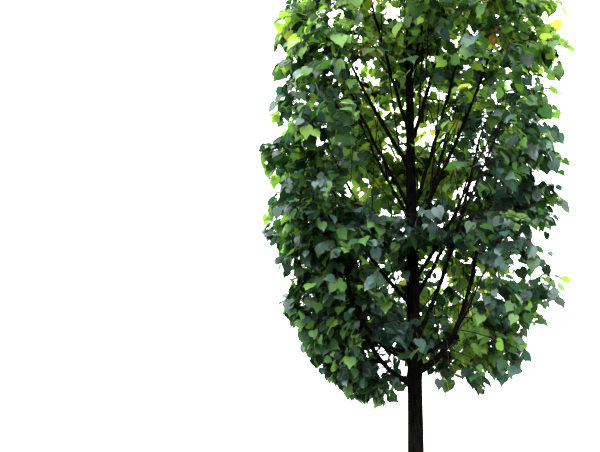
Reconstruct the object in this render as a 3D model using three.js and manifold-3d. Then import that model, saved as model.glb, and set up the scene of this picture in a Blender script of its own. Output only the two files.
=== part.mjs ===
// A young large-leaved linden, grown as one straight leader with boughs all round it.
// Lengths are in millimetres and angles in degrees. +Z is up, and the origin is the
// centre of the flat cut through the foot of the trunk, level with the ground.
// Bearings run round the trunk from +X (0) over +Y (90).
//
// The tree is built as it grows: the trunk, then the boughs on it, then on each bough's
// tip one mass of twigs and leaves, which keeps to its own part of the crown.

import * as THREE from 'three';
import { mergeVertices } from 'three/addons/utils/BufferGeometryUtils.js';
import Module from 'manifold-3d';

const wasm = await Module();
wasm.setup();

// Whole tree
const treeHeight = 8400;
const seatGap = 0.3;
const seed = 4217;

// Trunk
const trunkHeight = 7680;
const trunkLean = 1.1;
const trunkTipRadius = 5;
const trunkTaperRadius = 73;
const trunkTaperPower = 1.05;
const trunkSway = 9;
const trunkSwayLength = 1050;
const flareRadius = 34;
const flareHeight = 140;
const flareRidges = 5;
const flareRidgeDepth = 0.45;
const trunkSides = 20;
const trunkSteps = 17;
const trunkStepPower = 1.6;
const trunkPieces = 40;

// Crown
const crownFoot = 1900;
const crownRadius = 1310;
const crownLopsided = 0.06;
const crownPeak = 2 / (3 * Math.sqrt(3));
const leafProud = 90;

// Boughs: where each leaves the trunk, its bearing, how far out and how high its tip
// lies, and its radius at the trunk. Those of a tier bend alike. The bend is how far out
// and up, as shares of the reach and the rise, the limb aims before it turns to its tip:
// the low ones leave the trunk nearly level, and the higher ones climb from the start.
const boughTiers = [
  {
    bendOut: 0.65,
    bendUp: 0.03,
    boughs: [
      { name: 'low_right', from: 2275, bearing: 352, reach: 560, tip: 3360, radius: 26 },
      { name: 'low_left', from: 2180, bearing: 184, reach: 540, tip: 3040, radius: 22 },
      { name: 'low_back', from: 2420, bearing: 126, reach: 720, tip: 2880, radius: 18 },
      { name: 'low_front_left', from: 2350, bearing: 211, reach: 780, tip: 3180, radius: 18 },
      { name: 'low_front_right', from: 2390, bearing: 306, reach: 680, tip: 2800, radius: 16 },
      { name: 'low_back_right', from: 2470, bearing: 62, reach: 720, tip: 2860, radius: 17 },
    ],
  },
  {
    bendOut: 0.56,
    bendUp: 0.36,
    boughs: [
      { name: 'mid_right', from: 2480, bearing: 334, reach: 600, tip: 4080, radius: 20 },
      { name: 'mid_back_right', from: 2850, bearing: 40, reach: 740, tip: 3980, radius: 18 },
      { name: 'mid_back', from: 2960, bearing: 96, reach: 780, tip: 3760, radius: 17 },
      { name: 'mid_left', from: 2790, bearing: 158, reach: 680, tip: 3820, radius: 18 },
      { name: 'mid_front_left', from: 3040, bearing: 216, reach: 800, tip: 3880, radius: 17 },
      { name: 'mid_front_right', from: 3000, bearing: 300, reach: 780, tip: 3700, radius: 17 },
    ],
  },
  {
    bendOut: 0.56,
    bendUp: 0.46,
    boughs: [
      { name: 'fan_right', from: 3400, bearing: 346, reach: 700, tip: 4900, radius: 19 },
      { name: 'fan_back_right', from: 3220, bearing: 56, reach: 860, tip: 4680, radius: 20 },
      { name: 'fan_back', from: 3500, bearing: 118, reach: 780, tip: 4640, radius: 16 },
      { name: 'fan_left', from: 3960, bearing: 174, reach: 560, tip: 5100, radius: 19 },
      { name: 'fan_front_left', from: 3600, bearing: 222, reach: 800, tip: 4600, radius: 16 },
      { name: 'fan_front_right', from: 3560, bearing: 298, reach: 740, tip: 4780, radius: 18 },
      { name: 'high_right', from: 4150, bearing: 28, reach: 520, tip: 5780, radius: 18 },
      { name: 'high_back', from: 4500, bearing: 88, reach: 600, tip: 5620, radius: 14 },
      { name: 'high_left', from: 4250, bearing: 212, reach: 520, tip: 5900, radius: 15 },
      { name: 'high_front', from: 4600, bearing: 284, reach: 600, tip: 5660, radius: 14 },
      { name: 'upper_right', from: 5280, bearing: 338, reach: 400, tip: 6460, radius: 12 },
      { name: 'upper_back', from: 5420, bearing: 84, reach: 400, tip: 6400, radius: 11 },
      { name: 'upper_left', from: 5360, bearing: 208, reach: 400, tip: 6540, radius: 11 },
      { name: 'spire_right', from: 6240, bearing: 24, reach: 240, tip: 7160, radius: 9 },
      { name: 'spire_left', from: 6360, bearing: 196, reach: 230, tip: 7300, radius: 9 },
    ],
  },
];
// Limbs that fork off the two lowest boughs and run on outwards
const forks = [
  { name: 'low_right_outer', parent: 'low_right', along: 0.32, bearing: 8, reach: 400, rise: 210 },
  { name: 'low_left_outer', parent: 'low_left', along: 0.29, bearing: 168, reach: 380, rise: 240 },
];
const forkRadius = 12;
const forkBend = { bendOut: 0.6, bendUp: 0.12 };
const boughTipShare = 0.45;
const boughTipLeast = 7;
const boughSides = 5;
const boughSteps = 5;

// Twigs and leaves of a mass. Twigs turn round the stem by a fixed angle, as they grow,
// lean out from it and sag the more the lower they are. A leaf hangs, and stands for a
// spray of leaves. Both are tried at several lengths, until one fits.
const centreOut = 170;
const centreUp = 110;
const stemLength = 560;
const stemTurnOut = 0.35;
const stemSteps = 3;
const twigSides = 3;
const twigsPerMass = 5;
const twigTurn = 137.5;
const twigLean = 64;
const twigLeanSpread = 16;
const twigLength = 430;
const twigLengthSpread = 0.3;
const twigShrink = 0.35;
const twigSag = 1.2;
const twigSagPower = 3;
const twigSagLeast = 0.1;
const twigFreeFrom = 0.25;
const twigSamples = 8;
const twigRadiusShare = 0.46;
const twigTipShare = 0.75;
const stemRadiusShare = 0.95;
const stemTipShare = 0.6;
const shortenings = [1, 0.78, 0.6, 0.45];
const leafLength = 390;
const leafWidth = 330;
const leafThickness = 5;
const leafWidestAt = 0.42;
const leafPlaces = [0.36, 0.72];
const endPlace = 0.97;
const leafSamplesPerEdge = 5;
const leafAlongTwig = 0.4;
const leafAside = 0.55;
const leafDroop = 0.85;
const leafTurn = 150;
const leafFullRadius = 850;
const leafLeast = 0.55;
const leafTries = [1, 0.8, 0.64];
const leafSink = 0.35;
const cellClearance = 4;
const limbClearance = 24;

// Finish
const barkColour = '#4d463d';
const barkRoughness = 0.92;
const leafRoughness = 0.6;
const leafColours = ['#3d6b2c', '#4a7a2f', '#5d8a34', '#2f5d3a', '#6f9a38'];

const up = new THREE.Vector3(0, 0, 1);

// A fixed draw between 0 and 1 for each mass, twig and use
const drawFor = { turn: 1, lean: 2, length: 3, facing: 4 };
function draw(mass, twig, use) {
  let bits = (seed + Math.imul(mass, 0x9e3779b1) + Math.imul(twig, 0x85ebca6b)
    + Math.imul(use, 0xc2b2ae35)) >>> 0;
  bits = Math.imul(bits ^ (bits >>> 15), 0x2c1b3c6d) >>> 0;
  bits = Math.imul(bits ^ (bits >>> 12), 0x297a2d39) >>> 0;
  return ((bits ^ (bits >>> 15)) >>> 0) / 4294967296;
}

function radians(degrees) {
  return THREE.MathUtils.degToRad(degrees);
}

function outward(bearing) {
  return new THREE.Vector3(Math.cos(radians(bearing)), Math.sin(radians(bearing)), 0);
}

// A unit shape with its shared vertices merged, so that it stays closed when they move
function closed(geometry) {
  geometry.deleteAttribute('normal');
  geometry.deleteAttribute('uv');
  return mergeVertices(geometry);
}

// Solids from closed geometries, and back
function solidOf(geometry) {
  return new wasm.Manifold(new wasm.Mesh({
    numProp: 3,
    vertProperties: new Float32Array(geometry.attributes.position.array),
    triVerts: new Uint32Array(geometry.index.array),
  }));
}

function geometryOf(solid) {
  const mesh = solid.getMesh();
  const geometry = new THREE.BufferGeometry();
  geometry.setAttribute('position', new THREE.BufferAttribute(mesh.vertProperties, 3));
  geometry.setIndex(new THREE.BufferAttribute(mesh.triVerts, 1));
  geometry.computeVertexNormals();
  return geometry;
}

// The largest whole body of a solid, without loose scraps or the walls of sealed hollows
function mainBody(solid) {
  return solid.decompose().reduce((best, body) => (body.volume() > best.volume() ? body : best));
}

// Trunk
function trunkAxis(height) {
  const turn = height / trunkSwayLength;
  return new THREE.Vector3(
    height * Math.tan(radians(trunkLean)) + trunkSway * Math.sin(turn),
    trunkSway * (1 - Math.cos(turn)),
    height,
  );
}

function trunkRadius(height, angle) {
  const taper = trunkTaperRadius * (1 - height / trunkHeight) ** trunkTaperPower;
  const ridges = 1 + flareRidgeDepth * Math.cos(flareRidges * angle);
  return trunkTipRadius + taper + flareRadius * ridges * Math.exp(-height / flareHeight);
}

// A closed cylinder whose rings are moved onto the trunk's axis and swollen to its radius
function trunkGeometry(extra) {
  const geometry = closed(new THREE.CylinderGeometry(1, 1, 1, trunkSides, trunkSteps));
  const place = geometry.attributes.position;
  for (let i = 0; i < place.count; i += 1) {
    const height = trunkHeight * (place.getY(i) + 0.5) ** trunkStepPower;
    const angle = Math.atan2(-place.getZ(i), place.getX(i));
    const radius = Math.hypot(place.getX(i), place.getZ(i)) * (trunkRadius(height, angle) + extra);
    const point = trunkAxis(height);
    place.setXYZ(i, point.x + radius * Math.cos(angle), point.y + radius * Math.sin(angle), height);
  }
  return geometry;
}

// A closed cylinder bent along a curve, its radius given by a function of the way along
function limbGeometry(curve, radiusAt, sides, steps) {
  const geometry = closed(new THREE.CylinderGeometry(1, 1, 1, sides, steps));
  const place = geometry.attributes.position;
  const frames = curve.computeFrenetFrames(steps);
  for (let i = 0; i < place.count; i += 1) {
    const along = place.getY(i) + 0.5;
    const ring = Math.round(along * steps);
    const radius = radiusAt(along);
    const point = curve.getPointAt(ring / steps);
    point.addScaledVector(frames.normals[ring], place.getX(i) * radius);
    point.addScaledVector(frames.binormals[ring], -place.getZ(i) * radius);
    place.setXYZ(i, point.x, point.y, point.z);
  }
  return geometry;
}

// Boughs: one bend between the start and the tip
function makeBough(size, radius, start, rise, bend, carrier) {
  const aim = (out, climb) => start.clone()
    .addScaledVector(outward(size.bearing), out * size.reach)
    .addScaledVector(up, climb * rise);
  return {
    name: size.name,
    bearing: size.bearing,
    curve: new THREE.QuadraticBezierCurve3(start, aim(bend.bendOut, bend.bendUp), aim(1, 1)),
    radiusAt: (along) => THREE.MathUtils.lerp(
      radius, Math.max(radius * boughTipShare, boughTipLeast), along,
    ),
    carrier,
  };
}

const boughs = boughTiers.flatMap((tier) => tier.boughs.map((size) => makeBough(
  size, size.radius, trunkAxis(size.from), size.tip - size.from, tier, trunkGeometry(seatGap),
)));
for (const fork of forks) {
  const parent = boughs.find((bough) => bough.name === fork.parent);
  const grown = (along) => parent.radiusAt(along) + seatGap;
  boughs.push(makeBough(
    fork,
    forkRadius,
    parent.curve.getPointAt(fork.along),
    fork.rise,
    forkBend,
    limbGeometry(parent.curve, grown, boughSides, boughSteps),
  ));
}

// A bough's solid about its own start, cut clear of the limb that carries it
function boughSolid(bough) {
  const start = bough.curve.getPoint(0);
  const move = (geometry) => geometry.clone().translate(-start.x, -start.y, -start.z);
  const limb = solidOf(move(limbGeometry(bough.curve, bough.radiusAt, boughSides, boughSteps)));
  return mainBody(limb.subtract(solidOf(move(bough.carrier))));
}

// Crown: a flame shape, widest a third of the way up. Its radius follows the square root
// of the share of its height times the share left to the top, whose highest value is the
// crown's peak.
function crownShare(height) {
  return THREE.MathUtils.clamp((height - crownFoot) / (treeHeight - crownFoot), 0, 1);
}

function crownProfile(height) {
  const share = crownShare(height);
  return crownRadius * Math.sqrt(share) * (1 - share) / crownPeak;
}

function crownRoom(point) {
  const fromAxis = point.clone().sub(trunkAxis(point.z)).setZ(0);
  const side = 1 + crownLopsided * fromAxis.clone().normalize().x;
  const sideways = crownProfile(point.z) * side + leafProud - fromAxis.length();
  return Math.min(sideways, point.z - crownFoot, treeHeight - point.z);
}

// Masses: one at each bough's tip and one on the trunk's tip
function makeCentre(start, bearing, out) {
  return start.clone().addScaledVector(outward(bearing), out).addScaledVector(up, centreUp);
}

const masses = boughs.map((bough) => ({
  name: bough.name,
  owner: bough.name,
  start: bough.curve.getPointAt(1),
  heading: bough.curve.getTangentAt(1),
  radius: bough.radiusAt(1),
  bearing: bough.bearing,
  turnOut: stemTurnOut,
  centre: makeCentre(bough.curve.getPointAt(1), bough.bearing, centreOut),
}));
masses.push({
  name: 'top',
  owner: 'trunk',
  start: trunkAxis(trunkHeight),
  heading: up.clone(),
  radius: trunkTipRadius,
  bearing: 0,
  turnOut: 0,
  centre: makeCentre(trunkAxis(trunkHeight), 0, 0),
});

// How far a point lies inside a mass's own part of the crown, which is what lies nearer
// to its centre than to any other mass's
function ownRoom(mass, point) {
  const rooms = masses.filter((other) => other !== mass).map((other) => {
    const across = other.centre.clone().sub(mass.centre);
    const middle = other.centre.clone().add(mass.centre).multiplyScalar(0.5);
    return middle.sub(point).dot(across) / across.length();
  });
  return Math.min(crownRoom(point), ...rooms);
}

function keepsToCell(mass, points) {
  return points.every((point) => ownRoom(mass, point) > cellClearance);
}

// The limbs as short straight pieces, to keep twigs and leaves off them
function limbPieces(owner, pointAt, radiusAt, count) {
  return Array.from({ length: count }, (_, i) => ({
    owner,
    line: new THREE.Line3(pointAt(i / count), pointAt((i + 1) / count)),
    radius: radiusAt(i / count),
  }));
}

const pieces = [
  ...limbPieces(
    'trunk',
    (along) => trunkAxis(along * trunkHeight),
    (along) => trunkRadius(along * trunkHeight, 0),
    trunkPieces,
  ),
  ...boughs.flatMap((bough) => limbPieces(
    bough.name, (along) => bough.curve.getPointAt(along), bough.radiusAt, boughSteps,
  )),
];

function clearOfLimbs(points, owner) {
  const nearest = new THREE.Vector3();
  return pieces.every((piece) => piece.owner === owner || points.every((point) => {
    piece.line.closestPointToPoint(point, true, nearest);
    return nearest.distanceTo(point) > piece.radius + limbClearance;
  }));
}

// Points spread evenly from one place to another
function between(first, last, count) {
  return Array.from({ length: count + 1 }, (_, i) => first.clone().lerp(last, i / count));
}

// A leaf: an octahedron pressed flat, its root vertex sunk in the twig. It hangs, and it
// is smaller where the crown is narrow.
function makeLeaf(root, heading, facing, part) {
  const ahead = heading.clone().normalize();
  const across = new THREE.Vector3().crossVectors(facing, ahead).normalize();
  const normal = new THREE.Vector3().crossVectors(ahead, across);
  const size = part * THREE.MathUtils.clamp(crownProfile(root.z) / leafFullRadius, leafLeast, 1);
  const pointAt = (along, aside, lift) => root.clone()
    .addScaledVector(ahead, along * leafLength * size)
    .addScaledVector(across, aside * leafWidth * size / 2)
    .addScaledVector(normal, lift * leafThickness * size / 2);
  return pointAt;
}

function leafGeometry(leafPoint) {
  const geometry = closed(new THREE.OctahedronGeometry(1));
  const place = geometry.attributes.position;
  for (let i = 0; i < place.count; i += 1) {
    const x = place.getX(i);
    const along = leafWidestAt + x * (x > 0 ? 1 - leafWidestAt : leafWidestAt);
    const point = leafPoint(along, place.getY(i), place.getZ(i));
    place.setXYZ(i, point.x, point.y, point.z);
  }
  return geometry;
}

function leafSamples(leafPoint) {
  const root = leafPoint(0, 0, 0);
  const left = leafPoint(leafWidestAt, 1, 0);
  const right = leafPoint(leafWidestAt, -1, 0);
  const tip = leafPoint(1, 0, 0);
  return [[root, left], [root, right], [left, tip], [right, tip], [root, tip], [left, right]]
    .flatMap(([first, last]) => between(first, last, leafSamplesPerEdge));
}

// The stem of a mass: on from the bough's tip, clear of it, and turning outwards. It is
// shortened until its end keeps to the mass's own part of the crown.
function makeStem(mass) {
  const start = mass.start.clone().addScaledVector(mass.heading, seatGap);
  const stemOf = (length) => {
    const aim = (ahead, aside) => start.clone()
      .addScaledVector(mass.heading, ahead * length)
      .addScaledVector(outward(mass.bearing), aside * length * mass.turnOut);
    return new THREE.CubicBezierCurve3(start, aim(1 / 3, 0), aim(2 / 3, 1 / 3), aim(1, 1));
  };
  const share = shortenings.find((part) => keepsToCell(mass, [stemOf(stemLength * part).v3]));
  return stemOf(stemLength * (share ?? shortenings.at(-1)));
}

function stemRadius(mass, along) {
  return mass.radius * stemRadiusShare * THREE.MathUtils.lerp(1, stemTipShare, along);
}

// A twig leaves the stem at the next place and a turn further round, and sags more the
// lower it is. It is shortened to fit, and skipped where it fits nowhere.
function makeTwig(mass, number, stem, twig) {
  const along = (twig + 0.5) / twigsPerMass;
  const root = stem.getPointAt(along);
  const ahead = stem.getTangentAt(along);
  const aside = new THREE.Vector3().crossVectors(ahead, up).normalize();
  const over = new THREE.Vector3().crossVectors(aside, ahead);
  const turn = radians(twigTurn * twig + 360 * draw(number, 0, drawFor.turn));
  const lean = radians(twigLean + twigLeanSpread * (draw(number, twig, drawFor.lean) - 0.5));
  const sag = twigSagLeast + twigSag * (1 - crownShare(root.z)) ** twigSagPower;
  const direction = ahead.clone().multiplyScalar(Math.cos(lean))
    .addScaledVector(aside, Math.sin(lean) * Math.cos(turn))
    .addScaledVector(over, Math.sin(lean) * Math.sin(turn))
    .addScaledVector(up, -sag)
    .normalize();
  const chance = 1 + twigLengthSpread * (draw(number, twig, drawFor.length) - 0.5);
  const length = twigLength * (1 - twigShrink * along) * chance;
  const tipOf = (part) => root.clone().addScaledVector(direction, part * length);
  const freeOf = (part) => between(root.clone().lerp(tipOf(part), twigFreeFrom), tipOf(part), twigSamples);
  const kept = shortenings.find((part) => (
    keepsToCell(mass, [tipOf(part)]) && clearOfLimbs(freeOf(part), mass.owner)
  ));
  const radius = twigRadiusShare * stemRadius(mass, along);
  return kept && { root, tip: tipOf(kept), direction, radius };
}

// Two leaves on a twig's sides and one at its end, each with a root, heading and facing
function twigLeaves(mass, number, twig, limb) {
  const flat = new THREE.Vector3().crossVectors(limb.direction, up).normalize();
  const aside = leafTurn * (draw(number, twig, drawFor.facing) - 0.5);
  const facing = outward(mass.bearing + aside).add(up);
  const leafAt = (along, hand) => {
    const heading = limb.direction.clone().multiplyScalar(hand ? leafAlongTwig : 1)
      .addScaledVector(flat, hand * leafAside)
      .addScaledVector(up, -leafDroop)
      .normalize();
    const root = limb.root.clone().lerp(limb.tip, along).addScaledVector(heading, -leafSink * limb.radius);
    return { root, heading, facing };
  };
  const sides = leafPlaces.map((along, leaf) => leafAt(along, (twig + leaf) % 2 ? 1 : -1));
  return [...sides, leafAt(endPlace, 0)];
}

// The leaf at the largest size that keeps to the mass's part of the crown and off the limbs
function fittingLeaf(mass, { root, heading, facing }) {
  return leafTries.map((part) => makeLeaf(root, heading, facing, part)).find((leafPoint) => {
    const samples = leafSamples(leafPoint);
    return keepsToCell(mass, samples) && clearOfLimbs(samples, '');
  });
}

// One mass: its stem, twigs and leaves fused about its own start
function massSolid(mass, number) {
  const stem = makeStem(mass);
  const twigs = Array.from({ length: twigsPerMass }, (_, twig) => makeTwig(mass, number, stem, twig));
  const last = {
    root: stem.getPointAt(endPlace),
    heading: stem.getTangentAt(1),
    facing: outward(mass.bearing + 90),
  };
  const wanted = twigs.flatMap((limb, twig) => (limb ? twigLeaves(mass, number, twig, limb) : []));
  const leaves = [last, ...wanted].map((leaf) => fittingLeaf(mass, leaf)).filter(Boolean);
  const shapes = [
    limbGeometry(stem, (along) => stemRadius(mass, along), twigSides, stemSteps),
    ...twigs.filter(Boolean).map((limb) => limbGeometry(
      new THREE.LineCurve3(limb.root, limb.tip),
      (along) => limb.radius * THREE.MathUtils.lerp(1, twigTipShare, along),
      twigSides,
      1,
    )),
    ...leaves.map(leafGeometry),
  ];
  const { x, y, z } = mass.start;
  const solids = shapes.map((shape) => solidOf(shape.translate(-x, -y, -z)));
  return mainBody(solids.reduce((whole, solid) => whole.add(solid)));
}

// The tree
const tree = new THREE.Group();
const bark = () => new THREE.MeshStandardMaterial({ color: barkColour, roughness: barkRoughness });

function addNode(name, geometry, position, material) {
  const node = new THREE.Mesh(geometry, material);
  node.name = name;
  node.position.copy(position);
  tree.add(node);
}

addNode('trunk', geometryOf(solidOf(trunkGeometry(0))), new THREE.Vector3(), bark());
for (const bough of boughs) {
  addNode(`bough_${bough.name}`, geometryOf(boughSolid(bough)), bough.curve.getPoint(0), bark());
}
for (const [number, mass] of masses.entries()) {
  const colour = leafColours[number % leafColours.length];
  const leafMaterial = new THREE.MeshStandardMaterial({ color: colour, roughness: leafRoughness });
  addNode(`foliage_${mass.name}`, geometryOf(massSolid(mass, number)), mass.start, leafMaterial);
}

export default tree;
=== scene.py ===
"""A young large-leaved linden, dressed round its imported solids.

Lengths are in metres and angles in degrees. +Z is up, the origin is the centre of the
trunk's foot, and bearings run round the trunk from +X (0) over +Y (90). The tree is made
as it grows: trunk, boughs, stems and twigs, shoots, leaf stalks and leaf blades.
"""
import math

import bpy
import numpy as np
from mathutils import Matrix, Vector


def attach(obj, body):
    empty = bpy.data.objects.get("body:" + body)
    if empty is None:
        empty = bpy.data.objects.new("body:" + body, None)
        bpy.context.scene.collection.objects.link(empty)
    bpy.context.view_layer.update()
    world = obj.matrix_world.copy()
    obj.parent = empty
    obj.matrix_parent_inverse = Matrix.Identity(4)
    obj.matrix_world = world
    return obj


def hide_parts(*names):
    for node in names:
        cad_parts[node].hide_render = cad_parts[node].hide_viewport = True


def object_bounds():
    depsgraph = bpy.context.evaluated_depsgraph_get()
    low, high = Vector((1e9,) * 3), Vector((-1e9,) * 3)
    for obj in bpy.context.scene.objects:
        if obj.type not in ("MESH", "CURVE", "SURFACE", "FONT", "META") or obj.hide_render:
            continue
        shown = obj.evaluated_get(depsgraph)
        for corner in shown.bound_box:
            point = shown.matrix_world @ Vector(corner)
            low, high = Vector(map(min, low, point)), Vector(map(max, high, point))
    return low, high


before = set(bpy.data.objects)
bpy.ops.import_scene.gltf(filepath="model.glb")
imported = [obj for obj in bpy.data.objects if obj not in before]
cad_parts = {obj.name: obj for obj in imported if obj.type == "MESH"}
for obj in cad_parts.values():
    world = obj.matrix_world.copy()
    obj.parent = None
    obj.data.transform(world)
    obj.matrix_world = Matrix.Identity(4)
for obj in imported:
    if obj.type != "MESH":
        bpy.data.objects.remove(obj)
cad_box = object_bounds()


# The viewer
# Someone stands seven metres in front of the tree and a little to its left, and looks up
# into the crown from eye height, so that the foot and the top are out of the picture.
EYE = np.array([-0.866, -7.25, 1.65])
LOOK_UP = 14.0
LENS = 54.0
SENSOR = 36.0

camera_data = bpy.data.cameras.new("camera")
camera_data.lens = LENS
camera_data.sensor_width = SENSOR
camera_data.sensor_fit = "HORIZONTAL"
camera = bpy.data.objects.new("camera", camera_data)
camera.location = EYE
camera.rotation_euler = (math.radians(90 + LOOK_UP), 0, 0)
bpy.context.scene.collection.objects.link(camera)
bpy.context.scene.camera = camera


# Trunk
# One straight leader of living wood, from the root flare at the ground to its tip. Its
# bark is dark grey-brown, and its colour here is darker still, nearly black: painted shade
# of a trunk seen against the light. It is cracked into fine upright ridges low down and
# smooth above, and swells into a collar round the root of each bough.
TRUNK_HEIGHT = 7.68
TRUNK_LEAN = 1.1
TRUNK_SWAY = 0.009
TRUNK_SWAY_LENGTH = 1.05
TRUNK_TIP_RADIUS = 0.005
TRUNK_TAPER_RADIUS = 0.073
TRUNK_TAPER_POWER = 1.05
TRUNK_ROWS = 400
TRUNK_COLUMNS = 112
FLARE_RADIUS = 0.034
FLARE_HEIGHT = 0.14
FLARE_RIDGES = 5
FLARE_RIDGE_DEPTH = 0.45
BARK_RIDGES = 21
BARK_DEPTH = 0.0042
BARK_LEVEL = 0.45
BARK_SMOOTH_ABOVE = 3.4
BARK_LEAST = 0.12
BARK_FADE_POWER = 0.7
# Each wander of the cracks: its size, the rise over which its sine goes on by a radian,
# and how often it goes round the limb.
CRACK_WANDERS = [(1.1, 0.083, 2), (0.7, 0.031, 5)]
CROSSING_WANDER = 1.3
CROSSING_TURN = 1.7
CRACK_WIDTHS = (0.3, 0.26)
# How far a collar swells, how wide and high it is, and how far it lies above the place
# where the bough leaves, each as a share of the bough's radius.
COLLAR_SWELL = 0.42
COLLAR_BREADTH = 1.7
COLLAR_HEIGHT = 3.0
COLLAR_CLIMB = 3.5
LOW_COLLAR_CLIMB = 1.2
UP = np.array([0.0, 0.0, 1.0])
# Where a bough of each tier bends: the share of its reach out and of its rise up.
LOW, MIDDLE, STEEP = (0.65, 0.03), (0.56, 0.36), (0.56, 0.46)
# Each bough: its name and tier, how high it leaves the trunk, its bearing, how far out and
# how high its tip is, and its radius at the trunk.
BOUGHS = [
    ("low_right", LOW, 2.275, 352, 0.56, 3.36, 0.026),
    ("low_left", LOW, 2.18, 184, 0.54, 3.04, 0.022),
    ("low_back", LOW, 2.42, 126, 0.72, 2.88, 0.018),
    ("low_front_left", LOW, 2.35, 211, 0.78, 3.18, 0.018),
    ("low_front_right", LOW, 2.39, 306, 0.68, 2.8, 0.016),
    ("low_back_right", LOW, 2.47, 62, 0.72, 2.86, 0.017),
    ("mid_right", MIDDLE, 2.48, 334, 0.6, 4.08, 0.02),
    ("mid_back_right", MIDDLE, 2.85, 40, 0.74, 3.98, 0.018),
    ("mid_back", MIDDLE, 2.96, 96, 0.78, 3.76, 0.017),
    ("mid_left", MIDDLE, 2.79, 158, 0.68, 3.82, 0.018),
    ("mid_front_left", MIDDLE, 3.04, 216, 0.8, 3.88, 0.017),
    ("mid_front_right", MIDDLE, 3.0, 300, 0.78, 3.7, 0.017),
    ("fan_right", STEEP, 3.4, 346, 0.7, 4.9, 0.019),
    ("fan_back_right", STEEP, 3.22, 56, 0.86, 4.68, 0.02),
    ("fan_back", STEEP, 3.5, 118, 0.78, 4.64, 0.016),
    ("fan_left", STEEP, 3.96, 174, 0.56, 5.1, 0.019),
    ("fan_front_left", STEEP, 3.6, 222, 0.8, 4.6, 0.016),
    ("fan_front_right", STEEP, 3.56, 298, 0.74, 4.78, 0.018),
    ("high_right", STEEP, 4.15, 28, 0.52, 5.78, 0.018),
    ("high_back", STEEP, 4.5, 88, 0.6, 5.62, 0.014),
    ("high_left", STEEP, 4.25, 212, 0.52, 5.9, 0.015),
    ("high_front", STEEP, 4.6, 284, 0.6, 5.66, 0.014),
    ("upper_right", STEEP, 5.28, 338, 0.4, 6.46, 0.012),
    ("upper_back", STEEP, 5.42, 84, 0.4, 6.4, 0.011),
    ("upper_left", STEEP, 5.36, 208, 0.4, 6.54, 0.011),
    ("spire_right", STEEP, 6.24, 24, 0.24, 7.16, 0.009),
    ("spire_left", STEEP, 6.36, 196, 0.23, 7.3, 0.009),
]


def outward(bearing):
    """The level unit vector at a bearing: its cosine along X and its sine along Y."""
    turn = np.radians(bearing)
    return np.stack([np.cos(turn), np.sin(turn), np.zeros_like(turn)], axis=-1)


def unit(vectors):
    """Each vector divided by its own length."""
    return vectors / np.maximum(np.linalg.norm(vectors, axis=-1, keepdims=True), 1e-9)


def trunk_axis(height):
    """The trunk's centre line: it leans along X and sways by a sine across and along."""
    height = np.asarray(height, float)
    turn = height / TRUNK_SWAY_LENGTH
    lean = height * math.tan(math.radians(TRUNK_LEAN))
    return np.stack([lean + TRUNK_SWAY * np.sin(turn), TRUNK_SWAY * (1 - np.cos(turn)), height], axis=-1)


def trunk_radius(height, angle):
    """A tip radius, plus a taper that falls as a power of the height left, plus a flare
    that dies away upwards and is ridged by a cosine of the angle."""
    taper = TRUNK_TAPER_RADIUS * np.maximum(1 - height / TRUNK_HEIGHT, 0) ** TRUNK_TAPER_POWER
    ridges = 1 + FLARE_RIDGE_DEPTH * np.cos(FLARE_RIDGES * angle)
    return TRUNK_TIP_RADIUS + taper + FLARE_RADIUS * ridges * np.exp(-height / FLARE_HEIGHT)


def bark_cracks(angle, height, ridges):
    """How deep the bark is cracked, from 0 on a ridge to 1 in a crack. Two families of
    upright lines wander by sines of the height and cross each other, and a crack follows
    the nearer line of either, so that the ridges between them are long lozenges."""
    wander = sum(size * np.sin(height / rise + turns * angle) for size, rise, turns in CRACK_WANDERS)
    first = np.abs(np.sin(0.5 * ridges * angle + wander))
    second = np.abs(np.sin(0.5 * (ridges + 2) * angle - CROSSING_WANDER * wander + CROSSING_TURN))
    return np.maximum(np.exp(-(first / CRACK_WIDTHS[0]) ** 2), np.exp(-(second / CRACK_WIDTHS[1]) ** 2))


def grid_quads(rows, columns, closed):
    """The corners of each four-sided face on a grid of points, row by row. A closed grid
    joins its last column to its first."""
    row, column = np.meshgrid(np.arange(rows - 1), np.arange(columns - (not closed)), indexing="ij")
    after = (column + 1) % columns
    corners = [row * columns + column, row * columns + after,
               (row + 1) * columns + after, (row + 1) * columns + column]
    return np.stack(corners, axis=-1).reshape(-1, 4)


def put_piece(name, points, quads, triangles, material, nodes, uv=None):
    """A mesh object from arrays: its points, its four-sided and then its three-sided
    faces, a smooth finish, and the solids that it stands for."""
    mesh = bpy.data.meshes.new(name)
    mesh.vertices.add(len(points))
    mesh.vertices.foreach_set("co", np.asarray(points, np.float32).ravel())
    corners = np.concatenate([quads.ravel(), triangles.ravel()]).astype(np.int32)
    mesh.loops.add(len(corners))
    mesh.loops.foreach_set("vertex_index", corners)
    starts = np.concatenate([
        np.arange(len(quads)) * 4, len(quads) * 4 + np.arange(len(triangles)) * 3,
    ]).astype(np.int32)
    mesh.polygons.add(len(starts))
    mesh.polygons.foreach_set("loop_start", starts)
    mesh.polygons.foreach_set("use_smooth", np.ones(len(starts), bool))
    if uv is not None:
        layer = mesh.uv_layers.new(name="UVMap")
        layer.data.foreach_set("uv", np.asarray(uv[corners], np.float32).ravel())
    mesh.update(calc_edges=True)
    mesh.validate()
    mesh.materials.append(material)
    piece = bpy.data.objects.new(name, mesh)
    bpy.context.scene.collection.objects.link(piece)
    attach(piece, "root")
    if nodes:
        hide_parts(*nodes)


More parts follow.
